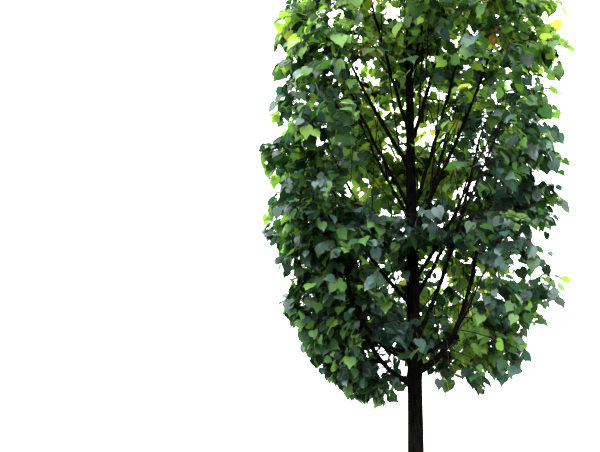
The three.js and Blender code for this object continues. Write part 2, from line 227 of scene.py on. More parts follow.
class Socket:
    """A shader socket that adds Math nodes when it is used in an expression."""

    def __init__(self, tree, link):
        self.tree = tree
        self.link = link

    def node(self, kind, settings=None, output=0, **values):
        """Adds any node: its settings first, then a value or a link for each input."""
        made = self.tree.nodes.new(kind)
        for name, value in (settings or {}).items():
            setattr(made, name, value)
        for name, value in values.items():
            socket = made.inputs[int(name[1:]) if name[1:].isdigit() else name.replace("_", " ")]
            if isinstance(value, Socket):
                self.tree.links.new(value.link, socket)
            else:
                socket.default_value = value
        return Socket(self.tree, made.outputs[output])

    def math(self, operation, first, second=0.0):
        """Adds one Math node."""
        return self.node("ShaderNodeMath", {"operation": operation}, _0=first, _1=second)

    def __add__(self, other):
        return self.math("ADD", self, other)

    def __mul__(self, other):
        return self.math("MULTIPLY", self, other)

    def __rsub__(self, other):
        return self.math("SUBTRACT", other, self)

    __radd__ = __add__
    __rmul__ = __mul__


def new_material(name):
    """An empty node material, its first socket and its output node."""
    material = bpy.data.materials.new(name)
    material.use_nodes = True
    material.node_tree.nodes.clear()
    output = material.node_tree.nodes.new("ShaderNodeOutputMaterial")
    return material, Socket(material.node_tree, None), output


BARK_DRAWN_OUT = 6
BLOTCH_SHARE = 0.35
CRACKS_UP_TO = 0.52
RIDGES_FROM = 0.86
FIBRE_RELIEF = 0.004
CRACK_ROUGHNESS = 0.96
RIDGE_WEAR = 0.14


def bark_material(name, ridge_colour, crack_colour, crack_scale, bump, gloss):
    """Dull bark. Noise that is drawn out upwards mixes a ridge colour with a crack
    colour, and the same noise roughens the surface."""
    material, start, output = new_material(name)
    place = start.node("ShaderNodeTexCoord", output=3)
    scale = (crack_scale, crack_scale, crack_scale / BARK_DRAWN_OUT)
    drawn_out = start.node("ShaderNodeMapping", Vector=place, Scale=scale)
    fibres = start.node("ShaderNodeTexNoise", Vector=drawn_out, Scale=1.0, Detail=5.0, Roughness=0.65)
    blotches = start.node("ShaderNodeTexNoise", Vector=place, Scale=7.0, Detail=2.0)
    grain = fibres + BLOTCH_SHARE * blotches
    share = start.node("ShaderNodeMapRange", _0=grain, _1=CRACKS_UP_TO, _2=RIDGES_FROM)
    colour = start.node(
        "ShaderNodeMix", {"data_type": "RGBA"}, output=2,
        _0=share, _6=(*crack_colour, 1), _7=(*ridge_colour, 1),
    )
    relief = start.node("ShaderNodeBump", Strength=bump, Distance=FIBRE_RELIEF, Height=fibres)
    surface = start.node(
        "ShaderNodeBsdfPrincipled", Base_Color=colour, Normal=relief, Specular_IOR_Level=gloss,
        Roughness=CRACK_ROUGHNESS - RIDGE_WEAR * share,
    )
    material.node_tree.links.new(surface.link, output.inputs["Surface"])
    return material


height, angle = np.meshgrid(
    np.linspace(0, TRUNK_HEIGHT, TRUNK_ROWS),
    np.arange(TRUNK_COLUMNS) * 2 * math.pi / TRUNK_COLUMNS, indexing="ij",
)
girth = trunk_radius(height, angle)
fade = np.clip(1 - height / BARK_SMOOTH_ABOVE, BARK_LEAST, 1) ** BARK_FADE_POWER
relief = BARK_LEVEL - bark_cracks(angle, height, BARK_RIDGES)
girth = girth + BARK_DEPTH * relief * fade * (girth / TRUNK_TAPER_RADIUS)
for _, tier, start, bearing, _, _, radius in BOUGHS:
    climb = (LOW_COLLAR_CLIMB if tier is LOW else COLLAR_CLIMB) * radius
    around = np.abs((np.degrees(angle) - bearing + 180) % 360 - 180)
    off_side = np.radians(around) * girth / (COLLAR_BREADTH * radius)
    off_height = (height - start - climb) / (COLLAR_HEIGHT * radius)
    girth = girth + COLLAR_SWELL * radius * np.exp(-off_side ** 2 - off_height ** 2)
sideways = np.stack([np.cos(angle), np.sin(angle), np.zeros_like(angle)], axis=-1)
trunk_rings = trunk_axis(height) + girth[..., None] * sideways
trunk_points = np.concatenate([
    trunk_rings.reshape(-1, 3), trunk_axis([TRUNK_HEIGHT]) + UP * TRUNK_TIP_RADIUS, [[0.0, 0.0, 0.0]],
])
edge = np.arange(TRUNK_COLUMNS)
after = (edge + 1) % TRUNK_COLUMNS
last_ring = (TRUNK_ROWS - 1) * TRUNK_COLUMNS
tip_point = np.full_like(edge, len(trunk_points) - 2)
foot_point = np.full_like(edge, len(trunk_points) - 1)
tip_cap = np.stack([edge + last_ring, after + last_ring, tip_point], axis=-1)
foot_cap = np.stack([after, edge, foot_point], axis=-1)
# The trunk's ridge and crack colours are nearly black, darker than its real grey-brown: painted shade of
# a trunk seen against the light.
trunk_bark_in_painted_shade = bark_material(
    "bark_of_trunk_in_painted_shade", ridge_colour=(0.012, 0.0105, 0.009), crack_colour=(0.0015, 0.0015, 0.0015),
    crack_scale=60.0, bump=0.6, gloss=0.08,
)
put_piece(
    "trunk_with_bark", trunk_points, grid_quads(TRUNK_ROWS, TRUNK_COLUMNS, True),
    np.concatenate([tip_cap, foot_cap]), trunk_bark_in_painted_shade, ["trunk"],
)


# Boughs
# Twenty-seven limbs in three tiers, and two that fork off the lowest. The low ones leave
# the trunk nearly level and turn up, the higher ones climb from the start. All have thin
# bark with shallow cracks and the scars of old buds, and swell at the root. Their bark
# colour is nearly black, painted shade of limbs seen against the light.
FORK_RADIUS = 0.012
FORK_BEND = (0.6, 0.12)
# Each fork: its name and bough, the share of the way along, its bearing, reach and rise.
FORKS = [
    ("low_right_outer", "low_right", 0.32, 8, 0.4, 0.21),
    ("low_left_outer", "low_left", 0.29, 168, 0.38, 0.24),
]
BOUGH_TIP_SHARE = 0.45
BOUGH_TIP_LEAST = 0.007
BOUGH_POINTS = 64
BOUGH_SIDES = 18
BOUGH_SWELL = 0.55
BOUGH_SWELL_TO = 0.05
BOUGH_SWELL_FADE = 0.05
BOUGH_RIDGES = 7
BOUGH_CRACK_DEPTH = 0.05
CRACK_SHIFT = 0.01
SCAR_SPACING = 0.11
SCAR_BREADTH = 0.16
SCAR_BULGE = 0.035
CROOK = 0.006
CROOK_LENGTH = 0.27
CURVE_SAMPLES = 400
NEARLY_UPRIGHT = 0.05
TIP_POINT = 0.8


def even_points(points, shares):
    """Points at the given shares of the length of a line through many points."""
    steps = np.linalg.norm(np.diff(points, axis=0), axis=1)
    along = np.concatenate([[0], np.cumsum(steps)])
    wanted = np.asarray(shares) * along[-1]
    return np.stack([np.interp(wanted, along, points[:, axis]) for axis in range(3)], axis=-1)


def point_along(points, share):
    """The point at one share of the length of a line."""
    return even_points(points, [share])[0]


def bough_line(start, bearing, reach, rise, bend):
    """A quadratic curve: its start, a bend a share of the reach out and of the rise up,
    and its tip, in points spread evenly along it."""
    way = np.linspace(0, 1, CURVE_SAMPLES)[:, None]
    corner = start + outward(bearing) * bend[0] * reach + UP * bend[1] * rise
    tip = start + outward(bearing) * reach + UP * rise
    curve = (1 - way) ** 2 * start + 2 * way * (1 - way) * corner + way ** 2 * tip
    return even_points(curve, np.linspace(0, 1, BOUGH_POINTS))


bough_names = [row[0] for row in BOUGHS] + [row[0] for row in FORKS]
bough_bearings = np.array([row[3] for row in BOUGHS] + [row[3] for row in FORKS], float)
bough_radii = np.array([row[6] for row in BOUGHS] + [FORK_RADIUS] * len(FORKS))
bough_lines = [
    bough_line(trunk_axis(start), bearing, reach, tip - start, tier)
    for _, tier, start, bearing, reach, tip, _ in BOUGHS
]
for _, parent, along, bearing, reach, rise in FORKS:
    start = point_along(bough_lines[bough_names.index(parent)], along)
    bough_lines.append(bough_line(start, bearing, reach, rise, FORK_BEND))
bough_lines = np.array(bough_lines)
bough_tip_radii = np.maximum(bough_radii * BOUGH_TIP_SHARE, BOUGH_TIP_LEAST)


def tubes(lines, radii, sides, relief=None):
    """Limbs of round section along lines of points. The section turns with the line and
    keeps one direction square to the limb's own plane, and each tip closes in a point.
    Returns the points, the four-sided faces and the three-sided ones."""
    count, rings = lines.shape[:2]
    ahead = unit(np.gradient(lines, axis=1))
    chord = unit(lines[:, -1] - lines[:, 0])
    level = np.cross(chord, UP)
    upright = np.linalg.norm(level, axis=1, keepdims=True) < NEARLY_UPRIGHT
    across = unit(np.where(upright, np.array([1.0, 0, 0]), level))[:, None]
    across = unit(across - ahead * np.sum(across * ahead, axis=-1, keepdims=True))
    over = np.cross(across, ahead)
    angle = np.arange(sides) * 2 * math.pi / sides
    swell = radii[..., None] * np.ones(sides)
    if relief is not None:
        swell = swell * relief(angle)
    ring = across[:, :, None] * np.cos(angle)[:, None] + over[:, :, None] * np.sin(angle)[:, None]
    body = lines[:, :, None] + ring * swell[..., None]
    tip = lines[:, -1] + ahead[:, -1] * radii[:, -1, None] * TIP_POINT
    points = np.concatenate([body.reshape(-1, 3), tip])
    each = grid_quads(rings, sides, True)[:, ::-1]
    quads = (each + (np.arange(count) * rings * sides)[:, None, None]).reshape(-1, 4)
    edge = np.arange(sides)
    cap = np.stack([edge, np.zeros_like(edge), (edge + 1) % sides], axis=-1) + (rings - 1) * sides
    caps = cap + (np.arange(count) * rings * sides)[:, None, None]
    caps[:, :, 1] = (count * rings * sides + np.arange(count))[:, None]
    return points, quads, caps[:, :, ::-1].reshape(-1, 3)


def crooked(lines, bearings, lengths):
    """Bends each limb gently to and fro across its own plane, not at either end."""
    share = np.linspace(0, 1, lines.shape[1])
    hold = np.sin(math.pi * share) ** 0.5
    wave = np.sin(lengths[:, None] * share / CROOK_LENGTH * 2 * math.pi + bearings[:, None])
    aside = outward(bearings + 90)
    return lines + aside[:, None] * (CROOK * hold * wave)[..., None]


bough_lengths = np.sum(np.linalg.norm(np.diff(bough_lines, axis=1), axis=2), axis=1)
bough_share = np.linspace(0, 1, BOUGH_POINTS)
bough_along = bough_lengths[:, None] * bough_share
past_swell = ((bough_along - BOUGH_SWELL_TO) / BOUGH_SWELL_FADE).clip(0)
bough_swell = 1 + BOUGH_SWELL * np.exp(-past_swell ** 2)
bough_rings = bough_radii[:, None] * (1 - bough_share) + bough_tip_radii[:, None] * bough_share
bough_rings = bough_rings * bough_swell


def bough_relief(angle):
    """Shallow lengthwise cracks that wander round the limb, and a slight bulge at each
    bud scar, as a share of the limb's radius."""
    along = bough_along[..., None]
    cracks = bark_cracks(angle, along + bough_bearings[:, None, None] * CRACK_SHIFT, BOUGH_RIDGES)
    scars = np.exp(-(np.sin(along * math.pi / SCAR_SPACING) / SCAR_BREADTH) ** 2)
    return 1 - BOUGH_CRACK_DEPTH * cracks + SCAR_BULGE * scars


# The boughs' ridge and crack colours are nearly black, darker than real bark: painted shade of limbs seen
# against the light.
limb_bark_in_painted_shade = bark_material(
    "bark_of_boughs_in_painted_shade", ridge_colour=(0.013, 0.0115, 0.010), crack_colour=(0.003, 0.0025, 0.0025),
    crack_scale=110.0, bump=0.4, gloss=0.08,
)
limb_lines = crooked(bough_lines, bough_bearings, bough_lengths)
limb_points, limb_quads, limb_caps = tubes(limb_lines, bough_rings, BOUGH_SIDES, bough_relief)
put_piece(
    "boughs_with_bark", limb_points, limb_quads, limb_caps, limb_bark_in_painted_shade,
    ["bough_" + name for name in bough_names],
)


# Stems and twigs
# A mass of foliage grows from each bough's tip, and one from the trunk's: a stem that
# runs on and turns outwards, and five twigs set round it by a fixed turn, as buds are.
SEED = 4217
CROWN_FOOT = 1.9
TREE_HEIGHT = 8.4
CROWN_RADIUS = 1.31
CROWN_PEAK = 2 / (3 * math.sqrt(3))
CROWN_LOPSIDED = 0.06
LEAF_PROUD = 0.09
CENTRE_OUT = 0.17
CENTRE_UP = 0.11
STEM_LENGTH = 0.56
STEM_TURN_OUT = 0.35
TWIGS_PER_MASS = 5
TWIG_TURN = 137.5
TWIG_LEAN = 64.0
TWIG_LEAN_SPREAD = 16.0
TWIG_LENGTH = 0.43
TWIG_LENGTH_SPREAD = 0.3
TWIG_SHRINK = 0.35
TWIG_SAG = 1.2
TWIG_SAG_POWER = 3
TWIG_SAG_LEAST = 0.1
TWIG_FREE_FROM = 0.25
SHORTENINGS = (1.0, 0.78, 0.6, 0.45)
CELL_CLEARANCE = 0.004
LIMB_CLEARANCE = 0.024
FOR_TURN, FOR_LEAN, FOR_LENGTH = 1, 2, 3
BIT_MASK = 0xFFFFFFFF
MASS_STIR, TWIG_STIR, USE_STIR = 0x9E3779B1, 0x85EBCA6B, 0xC2B2AE35
FOLDS = [(15, 0x2C1B3C6D), (12, 0x297A2D39)]
LINE_SAMPLES = 200
TWIG_TESTS = 9
NEARBY = 0.01


def draw(mass, twig, use):
    """A fixed number between 0 and 1 for each mass, twig and use: the three numbers are
    stirred together by multiplying and folding their bits."""
    bits = (SEED + mass * MASS_STIR + twig * TWIG_STIR + use * USE_STIR) & BIT_MASK
    for shift, factor in FOLDS:
        bits = ((bits ^ (bits >> shift)) * factor) & BIT_MASK
    return (bits ^ (bits >> FOLDS[0][0])) / (BIT_MASK + 1)


def crown_share(height):
    """How far up the crown a height lies, from 0 at its foot to 1 at its top."""
    return np.clip((height - CROWN_FOOT) / (TREE_HEIGHT - CROWN_FOOT), 0, 1)


def crown_room(points):
    """How far points lie inside the crown, a flame shape whose radius follows the square
    root of the share of its height times the share left."""
    from_axis = points - trunk_axis(points[..., 2])
    distance = np.hypot(from_axis[..., 0], from_axis[..., 1])
    side = 1 + CROWN_LOPSIDED * from_axis[..., 0] / np.maximum(distance, 1e-6)
    up_share = crown_share(points[..., 2])
    profile = CROWN_RADIUS * np.sqrt(up_share) * (1 - up_share) / CROWN_PEAK
    sideways = profile * side + LEAF_PROUD - distance
    return np.minimum(sideways, np.minimum(points[..., 2] - CROWN_FOOT, TREE_HEIGHT - points[..., 2]))


def own_room(mass, points):
    """How far points lie inside what is nearer to a mass's centre than to another's."""
    others = np.delete(centres, mass, axis=0)
    across = others - centres[mass]
    middle = (others + centres[mass]) / 2
    rooms = np.sum((middle - points[..., None, :]) * across, axis=-1) / np.linalg.norm(across, axis=-1)
    return np.minimum(crown_room(points), rooms.min(axis=-1))


def limb_gap(points, owner):
    """How far points lie from the bark of the trunk and boughs, but for the owner's: the
    distance to the nearest of the short straight pieces that the limbs are cut into."""
    others = piece_owners != owner
    start, end, radius = piece_starts[others], piece_ends[others], piece_radii[others]
    way = end - start
    share = np.sum((points[..., None, :] - start) * way, axis=-1) / np.sum(way * way, axis=-1)
    nearest = start + np.clip(share, 0, 1)[..., None] * way
    return (np.linalg.norm(points[..., None, :] - nearest, axis=-1) - radius).min(axis=-1)


bough_headings = unit(bough_lines[:, -1] - bough_lines[:, -2])
tops = trunk_axis([TRUNK_HEIGHT])
starts = np.concatenate([bough_lines[:, -1], tops])
headings = np.concatenate([bough_headings, [UP]])
bearings = np.append(bough_bearings, 0.0)
base_radii = np.append(bough_tip_radii, TRUNK_TIP_RADIUS)
turn_outs = np.append(np.full(len(bough_lines), STEM_TURN_OUT), 0.0)
outs = outward(bearings)
centre_outs = np.append(np.full(len(bough_lines), CENTRE_OUT), 0.0)
centres = starts + outs * centre_outs[:, None] + UP * CENTRE_UP
mass_count = len(starts)
mass_nodes = ["foliage_" + name for name in bough_names] + ["foliage_top"]
leader = len(bough_lines)

# The trunk and the boughs once more, as the short straight pieces that limb_gap measures to.
TRUNK_PIECES = 40
BOUGH_PIECES = 5
trunk_cuts = trunk_axis(np.linspace(0, TRUNK_HEIGHT, TRUNK_PIECES + 1))
bough_cuts = np.array([even_points(line, np.linspace(0, 1, BOUGH_PIECES + 1)) for line in bough_lines])
bough_shares = np.arange(BOUGH_PIECES) / BOUGH_PIECES
bough_piece_radii = bough_radii[:, None] * (1 - bough_shares) + bough_tip_radii[:, None] * bough_shares
piece_starts = np.concatenate([trunk_cuts[:-1], bough_cuts[:, :-1].reshape(-1, 3)])
piece_ends = np.concatenate([trunk_cuts[1:], bough_cuts[:, 1:].reshape(-1, 3)])
piece_radii = np.concatenate([trunk_radius(trunk_cuts[:-1, 2], 0.0), bough_piece_radii.ravel()])
piece_owners = np.concatenate([
    np.full(TRUNK_PIECES, leader), np.repeat(np.arange(leader), BOUGH_PIECES),
])


def stem_line(mass):
    """A cubic curve on from the limb's tip, straight ahead at first and then outwards,
    shortened until its end keeps to the mass's own part of the crown."""
    def curve(length):
        way = np.linspace(0, 1, LINE_SAMPLES)[:, None]
        bends = [(0, 0), (1 / 3, 0), (2 / 3, 1 / 3), (1, 1)]
        corners = [
            starts[mass] + headings[mass] * ahead * length + outs[mass] * aside * length * turn_outs[mass]
            for ahead, aside in bends
        ]
        weights = [(1 - way) ** 3, 3 * way * (1 - way) ** 2, 3 * way ** 2 * (1 - way), way ** 3]
        return sum(weight * corner for weight, corner in zip(weights, corners))
    for part in SHORTENINGS:
        line = curve(STEM_LENGTH * part)
        if own_room(mass, line[-1]) > CELL_CLEARANCE:
            break
    return line


def twig_line(mass, stem, twig):
    """A straight twig: it leans out from the stem at a turn further round than the last,
    sags the more the lower it is, and is shortened to fit. None where it fits nowhere."""
    along = (twig + 0.5) / TWIGS_PER_MASS
    root, before, beyond = even_points(stem, [along, along - NEARBY, along + NEARBY])
    ahead = unit(beyond - before)
    aside = unit(np.cross(ahead, UP))
    over = np.cross(aside, ahead)
    turn = math.radians(TWIG_TURN * twig + 360 * draw(mass, 0, FOR_TURN))
    lean = math.radians(TWIG_LEAN + TWIG_LEAN_SPREAD * (draw(mass, twig, FOR_LEAN) - 0.5))
    sag = TWIG_SAG_LEAST + TWIG_SAG * (1 - crown_share(root[2])) ** TWIG_SAG_POWER
    sideways = aside * math.cos(turn) + over * math.sin(turn)
    direction = unit(ahead * math.cos(lean) + sideways * math.sin(lean) - UP * sag)
    chance = 1 + TWIG_LENGTH_SPREAD * (draw(mass, twig, FOR_LENGTH) - 0.5)
    length = TWIG_LENGTH * (1 - TWIG_SHRINK * along) * chance
    for part in SHORTENINGS:
        tip = root + direction * part * length
        free = root + np.linspace(TWIG_FREE_FROM, 1, TWIG_TESTS)[:, None] * (tip - root)
        if own_room(mass, tip) > CELL_CLEARANCE and (limb_gap(free, mass) > LIMB_CLEARANCE).all():
            return np.linspace(root, tip, LINE_SAMPLES)
    return None


TWIG_BOW = 0.05
STEM_SHARE = 0.95
STEM_TIP_SHARE = 0.45
TWIG_SHARE = 0.42
TWIG_THINNER = 0.4
TWIG_TIP_RADIUS = 0.0016
STEM_SHOOTS = 1.0
TWIG_SHOOTS = 0.85
# Each carrier of side shoots: its mass, line, radius at the root and tip, and the scale
# of the shoots on it.
carriers = []
stems = []
for mass in range(mass_count):
    stem = stem_line(mass)
    stems.append(stem)
    radius = base_radii[mass]
    carriers.append((mass, stem, radius * STEM_SHARE, radius * STEM_TIP_SHARE, STEM_SHOOTS))
    for twig in range(TWIGS_PER_MASS):
        line = twig_line(mass, stem, twig)
        if line is not None:
            way = np.linspace(0, 1, len(line))[:, None]
            length = np.linalg.norm(line[-1] - line[0])
            bowed = line + UP * TWIG_BOW * length * 4 * way * (1 - way)
            thick = TWIG_SHARE * radius * (1 - TWIG_THINNER * (twig + 0.5) / TWIGS_PER_MASS)
            carriers.append((mass, bowed, thick, TWIG_TIP_RADIUS, TWIG_SHOOTS))


# Side branches
# Thinner limbs of the same wood that fill the crown: beside the boughs, hanging from the
# low ones, round the leader and its top, out of the stems and on the crown's shoulders.
# Some cross before the trunk, and a few that climb beside the leader are bare.
BRANCH_PLACES = (0.36, 0.5, 0.64, 0.78, 0.92)
BRANCH_LENGTH = 0.5
BRANCH_LONGEST = 1.15
BRANCH_SHRINK = 0.35
BRANCH_LIFT = 0.22
BRANCH_AHEAD = 0.8
BRANCH_ASIDE = 0.62
BRANCH_CHANCE = 0.4
BRANCH_SHARE = 0.4
BRANCH_SAMPLES = 60
BRANCH_FREE_FROM = 15
BRANCH_TEST_STEP = 5
BRANCH_EDGE_ROOM = 0.08
BRANCH_SHOOTS = 0.9
LOW_BOUGHS = [bough for bough, name in enumerate(bough_names) if name.startswith("low")]
HANGING_PLACES = (0.2, 0.32, 0.46, 0.6)
HANGING_LENGTH = 0.52
HANGING_SAG = -0.25
HANGING_TURN = 38
HANGING_TURN_SPREAD = 20
HANGING_DIP = 0.1
HANGING_DIP_SPREAD = 0.3
LEADER_BRANCHES_FROM = 2.45
LEADER_BRANCHES_TO = 7.58
LEADER_BRANCH_SPACING = 0.12
LEADER_BRANCH_REACH = 0.46
LEADER_BRANCH_LONGEST = 1.2
LEADER_BRANCH_SHRINK = 0.5
LEADER_BRANCH_BEARING = 40.0
LEADER_BRANCH_RISE = 0.6
LEADER_BRANCH_RISE_SPREAD = 0.5
OUTER_PLACES = (0.4, 0.75)
OUTER_LENGTH = 0.44
OUTER_TURN = 38.0
OUTER_RISE = 0.5
WIDE_PLACES = (0.64, 0.88)
WIDE_LENGTH = 0.62
WIDE_TURN = 20.0
WIDE_RISE = 0.4
SHOULDER_BOUGHS = [bough for bough, name in enumerate(bough_names) if name.startswith("high")]
SHOULDER_PLACES = (0.3, 0.5, 0.7)
SHOULDER_LENGTH = 0.8
SHOULDER_TURNS = (28, -28, 0)
SHOULDER_RISE = 0.25
TOP_BRANCHES_FROM = 7.25
TOP_BRANCH_PLACES = np.linspace(0.0, 0.84, 14)
TOP_BRANCH_LENGTH = 0.27
TOP_BRANCH_LONGEST = 1.1
TOP_BRANCH_SHRINK = 0.5
TOP_BRANCH_RISE = 0.5
TOP_BRANCH_MORE_RISE = 0.6
TOP_SAMPLES = 40
# Radii that side branches have at the root.
STOUT, SLIM, FINE = 0.006, 0.005, 0.004
# Sprays that cross in front of the trunk or hang below the low limbs: the bough that
# carries each, how far along it, its bearing, length and lift.
NAMED_SPRAYS = [
    ("low_left", 0.15, 214, 0.32, -0.45),
    ("low_left", 0.24, 150, 0.34, -0.4),
    ("low_left", 0.3, 196, 0.34, -0.5),
    ("low_left", 0.38, 216, 0.36, -0.45),
    ("low_right", 0.14, 335, 0.3, -0.35),
    ("low_front_left", 0.34, 352, 0.46, 0.3),
    ("low_front_left", 0.46, 342, 0.5, 0.2),
    ("mid_front_left", 0.42, 354, 0.46, 0.1),
    ("mid_front_left", 0.58, 338, 0.5, -0.15),
    ("mid_front_right", 0.5, 188, 0.46, 0.1),
    ("mid_front_right", 0.38, 176, 0.42, 0.2),
]
# Slender limbs that climb beside the leader and are bare: the bough that carries each, how
# far along it, its bearing, how steeply it climbs, its length and its radius.
BARE_LIMBS = [
    ("fan_right", 0.2, 0, 8.0, 0.95, 0.012),
    ("fan_back_right", 0.45, 0, 3.2, 0.85, 0.012),
    ("mid_right", 0.6, 0, 2.2, 0.95, 0.011),
    ("high_right", 0.16, 20, 12.0, 0.8, 0.009),
    ("high_right", 0.3, 350, 14.0, 0.7, 0.007),
    ("fan_left", 0.14, 190, 9.0, 0.8, 0.008),
    ("fan_back", 0.4, 200, 5.0, 0.6, 0.007),
]
BARE_TAPER = 0.5
BARE = 0.0
ANY_MASS = -1
random = np.random.default_rng(SEED)


def branch_line(root, heading, length, lift, owner):
    """A branch along its heading, lifted by the square of the way along, and shortened
    until it keeps to the crown and off the other limbs. None where it fits nowhere."""
    way = np.linspace(0, 1, BRANCH_SAMPLES)[:, None]
    for part in SHORTENINGS:
        line = root + heading * length * part * way + UP * lift * length * part * way ** 2
        free = limb_gap(line[BRANCH_FREE_FROM::BRANCH_TEST_STEP], owner) > LIMB_CLEARANCE
        if crown_room(line[-1]) > BRANCH_EDGE_ROOM and free.all():
            return line
    return None


def add_branch(root, heading, length, lift, owner, thick):
    """Puts a branch, where it fits, among the carriers of shoots."""
    line = branch_line(root, heading, length, lift, owner)
    if line is not None:
        carriers.append((ANY_MASS, line, thick, TWIG_TIP_RADIUS, BRANCH_SHOOTS))


for bough, line in enumerate(bough_lines):
    for number, along in enumerate(BRANCH_PLACES):
        root, beyond = even_points(line, [along, along + 2 * NEARBY])
        aside = outward(bough_bearings[bough] + 90) * (1 if (number + bough) % 2 else -1)
        heading = BRANCH_AHEAD * unit(beyond - root) + BRANCH_ASIDE * aside
        heading = unit(heading + BRANCH_CHANCE * (random.random(3) - 0.5))
        reach = BRANCH_LENGTH * (BRANCH_LONGEST - BRANCH_SHRINK * along)
        thick = BRANCH_SHARE * (bough_radii[bough] * (1 - along) + bough_tip_radii[bough] * along)
        add_branch(root, heading, reach, BRANCH_LIFT, bough, thick)
for bough in LOW_BOUGHS:
    for number, along in enumerate(HANGING_PLACES):
        root = point_along(bough_lines[bough], along)
        turn = HANGING_TURN if (number + bough) % 2 else -HANGING_TURN
        turn = turn + HANGING_TURN_SPREAD * (random.random() - 0.5)
        dip = HANGING_DIP + HANGING_DIP_SPREAD * random.random()
        heading = unit(outward(bough_bearings[bough] + turn) - UP * dip)
        add_branch(root, heading, HANGING_LENGTH, HANGING_SAG, bough, SLIM)
leader_places = np.arange(LEADER_BRANCHES_FROM, LEADER_BRANCHES_TO, LEADER_BRANCH_SPACING)
for number, start in enumerate(leader_places):
    rise = LEADER_BRANCH_RISE + LEADER_BRANCH_RISE_SPREAD * random.random()
    heading = unit(outward(TWIG_TURN * number + LEADER_BRANCH_BEARING) + UP * rise)
    reach = LEADER_BRANCH_REACH * (LEADER_BRANCH_LONGEST - LEADER_BRANCH_SHRINK * crown_share(start))
    add_branch(trunk_axis(start), heading, reach, BRANCH_LIFT, leader, STOUT)
for mass, line in enumerate(stems):
    away = line[-1] - trunk_axis(line[-1, 2])
    bearing = np.degrees(np.arctan2(away[1], away[0]))
    for along, turn in zip(OUTER_PLACES, (OUTER_TURN, -OUTER_TURN)):
        heading = unit(outward(bearing + turn) + UP * OUTER_RISE * random.random())
        add_branch(point_along(line, along), heading, OUTER_LENGTH, 0.0, mass, SLIM)
for bough, line in enumerate(bough_lines):
    if bough not in LOW_BOUGHS:
        for along, turn in zip(WIDE_PLACES, (WIDE_TURN, -WIDE_TURN)):
            heading = unit(outward(bough_bearings[bough] + turn) + UP * WIDE_RISE * random.random())
            add_branch(point_along(line, along), heading, WIDE_LENGTH, 0.0, bough, STOUT)
for bough in SHOULDER_BOUGHS:
    for along, turn in zip(SHOULDER_PLACES, SHOULDER_TURNS):
        heading = unit(outward(bough_bearings[bough] + turn) + UP * SHOULDER_RISE)
        root = point_along(bough_lines[bough], along)
        add_branch(root, heading, SHOULDER_LENGTH, 0.0, bough, STOUT)
for name, along, bearing, reach, lift in NAMED_SPRAYS:
    bough = bough_names.index(name)
    root = point_along(bough_lines[bough], along)
    add_branch(root, outward(bearing), reach, lift, bough, SLIM)
leader_tip = trunk_axis(np.linspace(TOP_BRANCHES_FROM, TRUNK_HEIGHT, TOP_SAMPLES))
top_line = np.concatenate([leader_tip, stems[-1]])
for number, along in enumerate(TOP_BRANCH_PLACES):
    heading = unit(outward(TWIG_TURN * number) + UP * (TOP_BRANCH_RISE + TOP_BRANCH_MORE_RISE * along))
    reach = TOP_BRANCH_LENGTH * (TOP_BRANCH_LONGEST - TOP_BRANCH_SHRINK * along)
    add_branch(point_along(top_line, along), heading, reach, 0.0, leader, FINE)
bare_lines = []
for name, along, bearing, climb, length, thick in BARE_LIMBS:
    bough = bough_names.index(name)
    heading = unit(outward(bearing) + UP * climb)
    root = point_along(bough_lines[bough], along)
    line = branch_line(root, heading, length, 0.0, bough)
    if line is not None:
        carriers.append((ANY_MASS, line, thick, BARE_TAPER * thick, BARE))
        bare_lines.append(line)

# Stems, twigs, side branches and bare limbs are one piece, in place of the masses.
STEM_POINTS = 18
STEM_SIDES = 6
stem_share = np.linspace(0, 1, STEM_POINTS)
carrier_lines = np.array([even_points(line, stem_share) for _, line, _, _, _ in carriers])
carrier_radii = np.array([
    thick * (1 - stem_share) + thin * stem_share for _, _, thick, thin, _ in carriers
])
twig_points, twig_quads, twig_caps = tubes(carrier_lines, carrier_radii, STEM_SIDES)
twig_bark = bark_material(
    "bark_of_twigs", ridge_colour=(0.034, 0.026, 0.018), crack_colour=(0.012, 0.010, 0.008),
    crack_scale=160.0, bump=0.2, gloss=0.2,
)
put_piece("stems_and_twigs", twig_points, twig_quads, twig_caps, twig_bark, mass_nodes)


# Shoots
# Side shoots of this and last year's wood, in two flat rows along the stems, the twigs
# and the outer part of the boughs. They are thin, dark brown and bend at each bud.
SHOOT_SPACING = 0.06
SHOOTS_FROM = 0.12
SHOOT_LENGTH = 0.24
SHOOT_LENGTH_SPREAD = 0.5
SHOOT_LONGEST = 1.1
SHOOT_SHRINK = 0.35
SHOOT_SHORTENINGS = (1.0, 0.75, 0.55)
SHOOT_ROLL = 70
SHOOT_LEAN = 52.0
SHOOT_LEAN_SPREAD = 24
SHOOT_SAG = 0.15
SHOOT_MORE_SAG = 0.5
SHOOT_DROOP = 0.22
SHOOT_EDGE_ROOM = 0.03
SHOOT_LIMB_GAP = 0.012
SHOOT_FREE_FROM = 3
SHOOT_POINTS = 8
SHOOT_SIDES = 3
SHOOT_RADIUS = 0.003
SHOOT_TIP_RADIUS = 0.0017
SHOOT_ZIGZAG = 0.0035
ZIGZAG_FADE = 0.5
SHOOT_OVERLAP = 0.05
BOUGH_SHOOTS_FROM = 0.42
BOUGH_SHOOT_SPACING = 0.1
BOUGH_SHOOTS = 1.05
LEADER_SHOOTS_FROM = 6.9
LEADER_SHOOTS = 1.3
LEADER_SAMPLES = 60
TOP_SHOOTS = 0.8
TOP_SHOOTS_CLOSER = 0.6
# Added to a direction so that an upright shoot has a level side too.
NUDGE = 1e-4
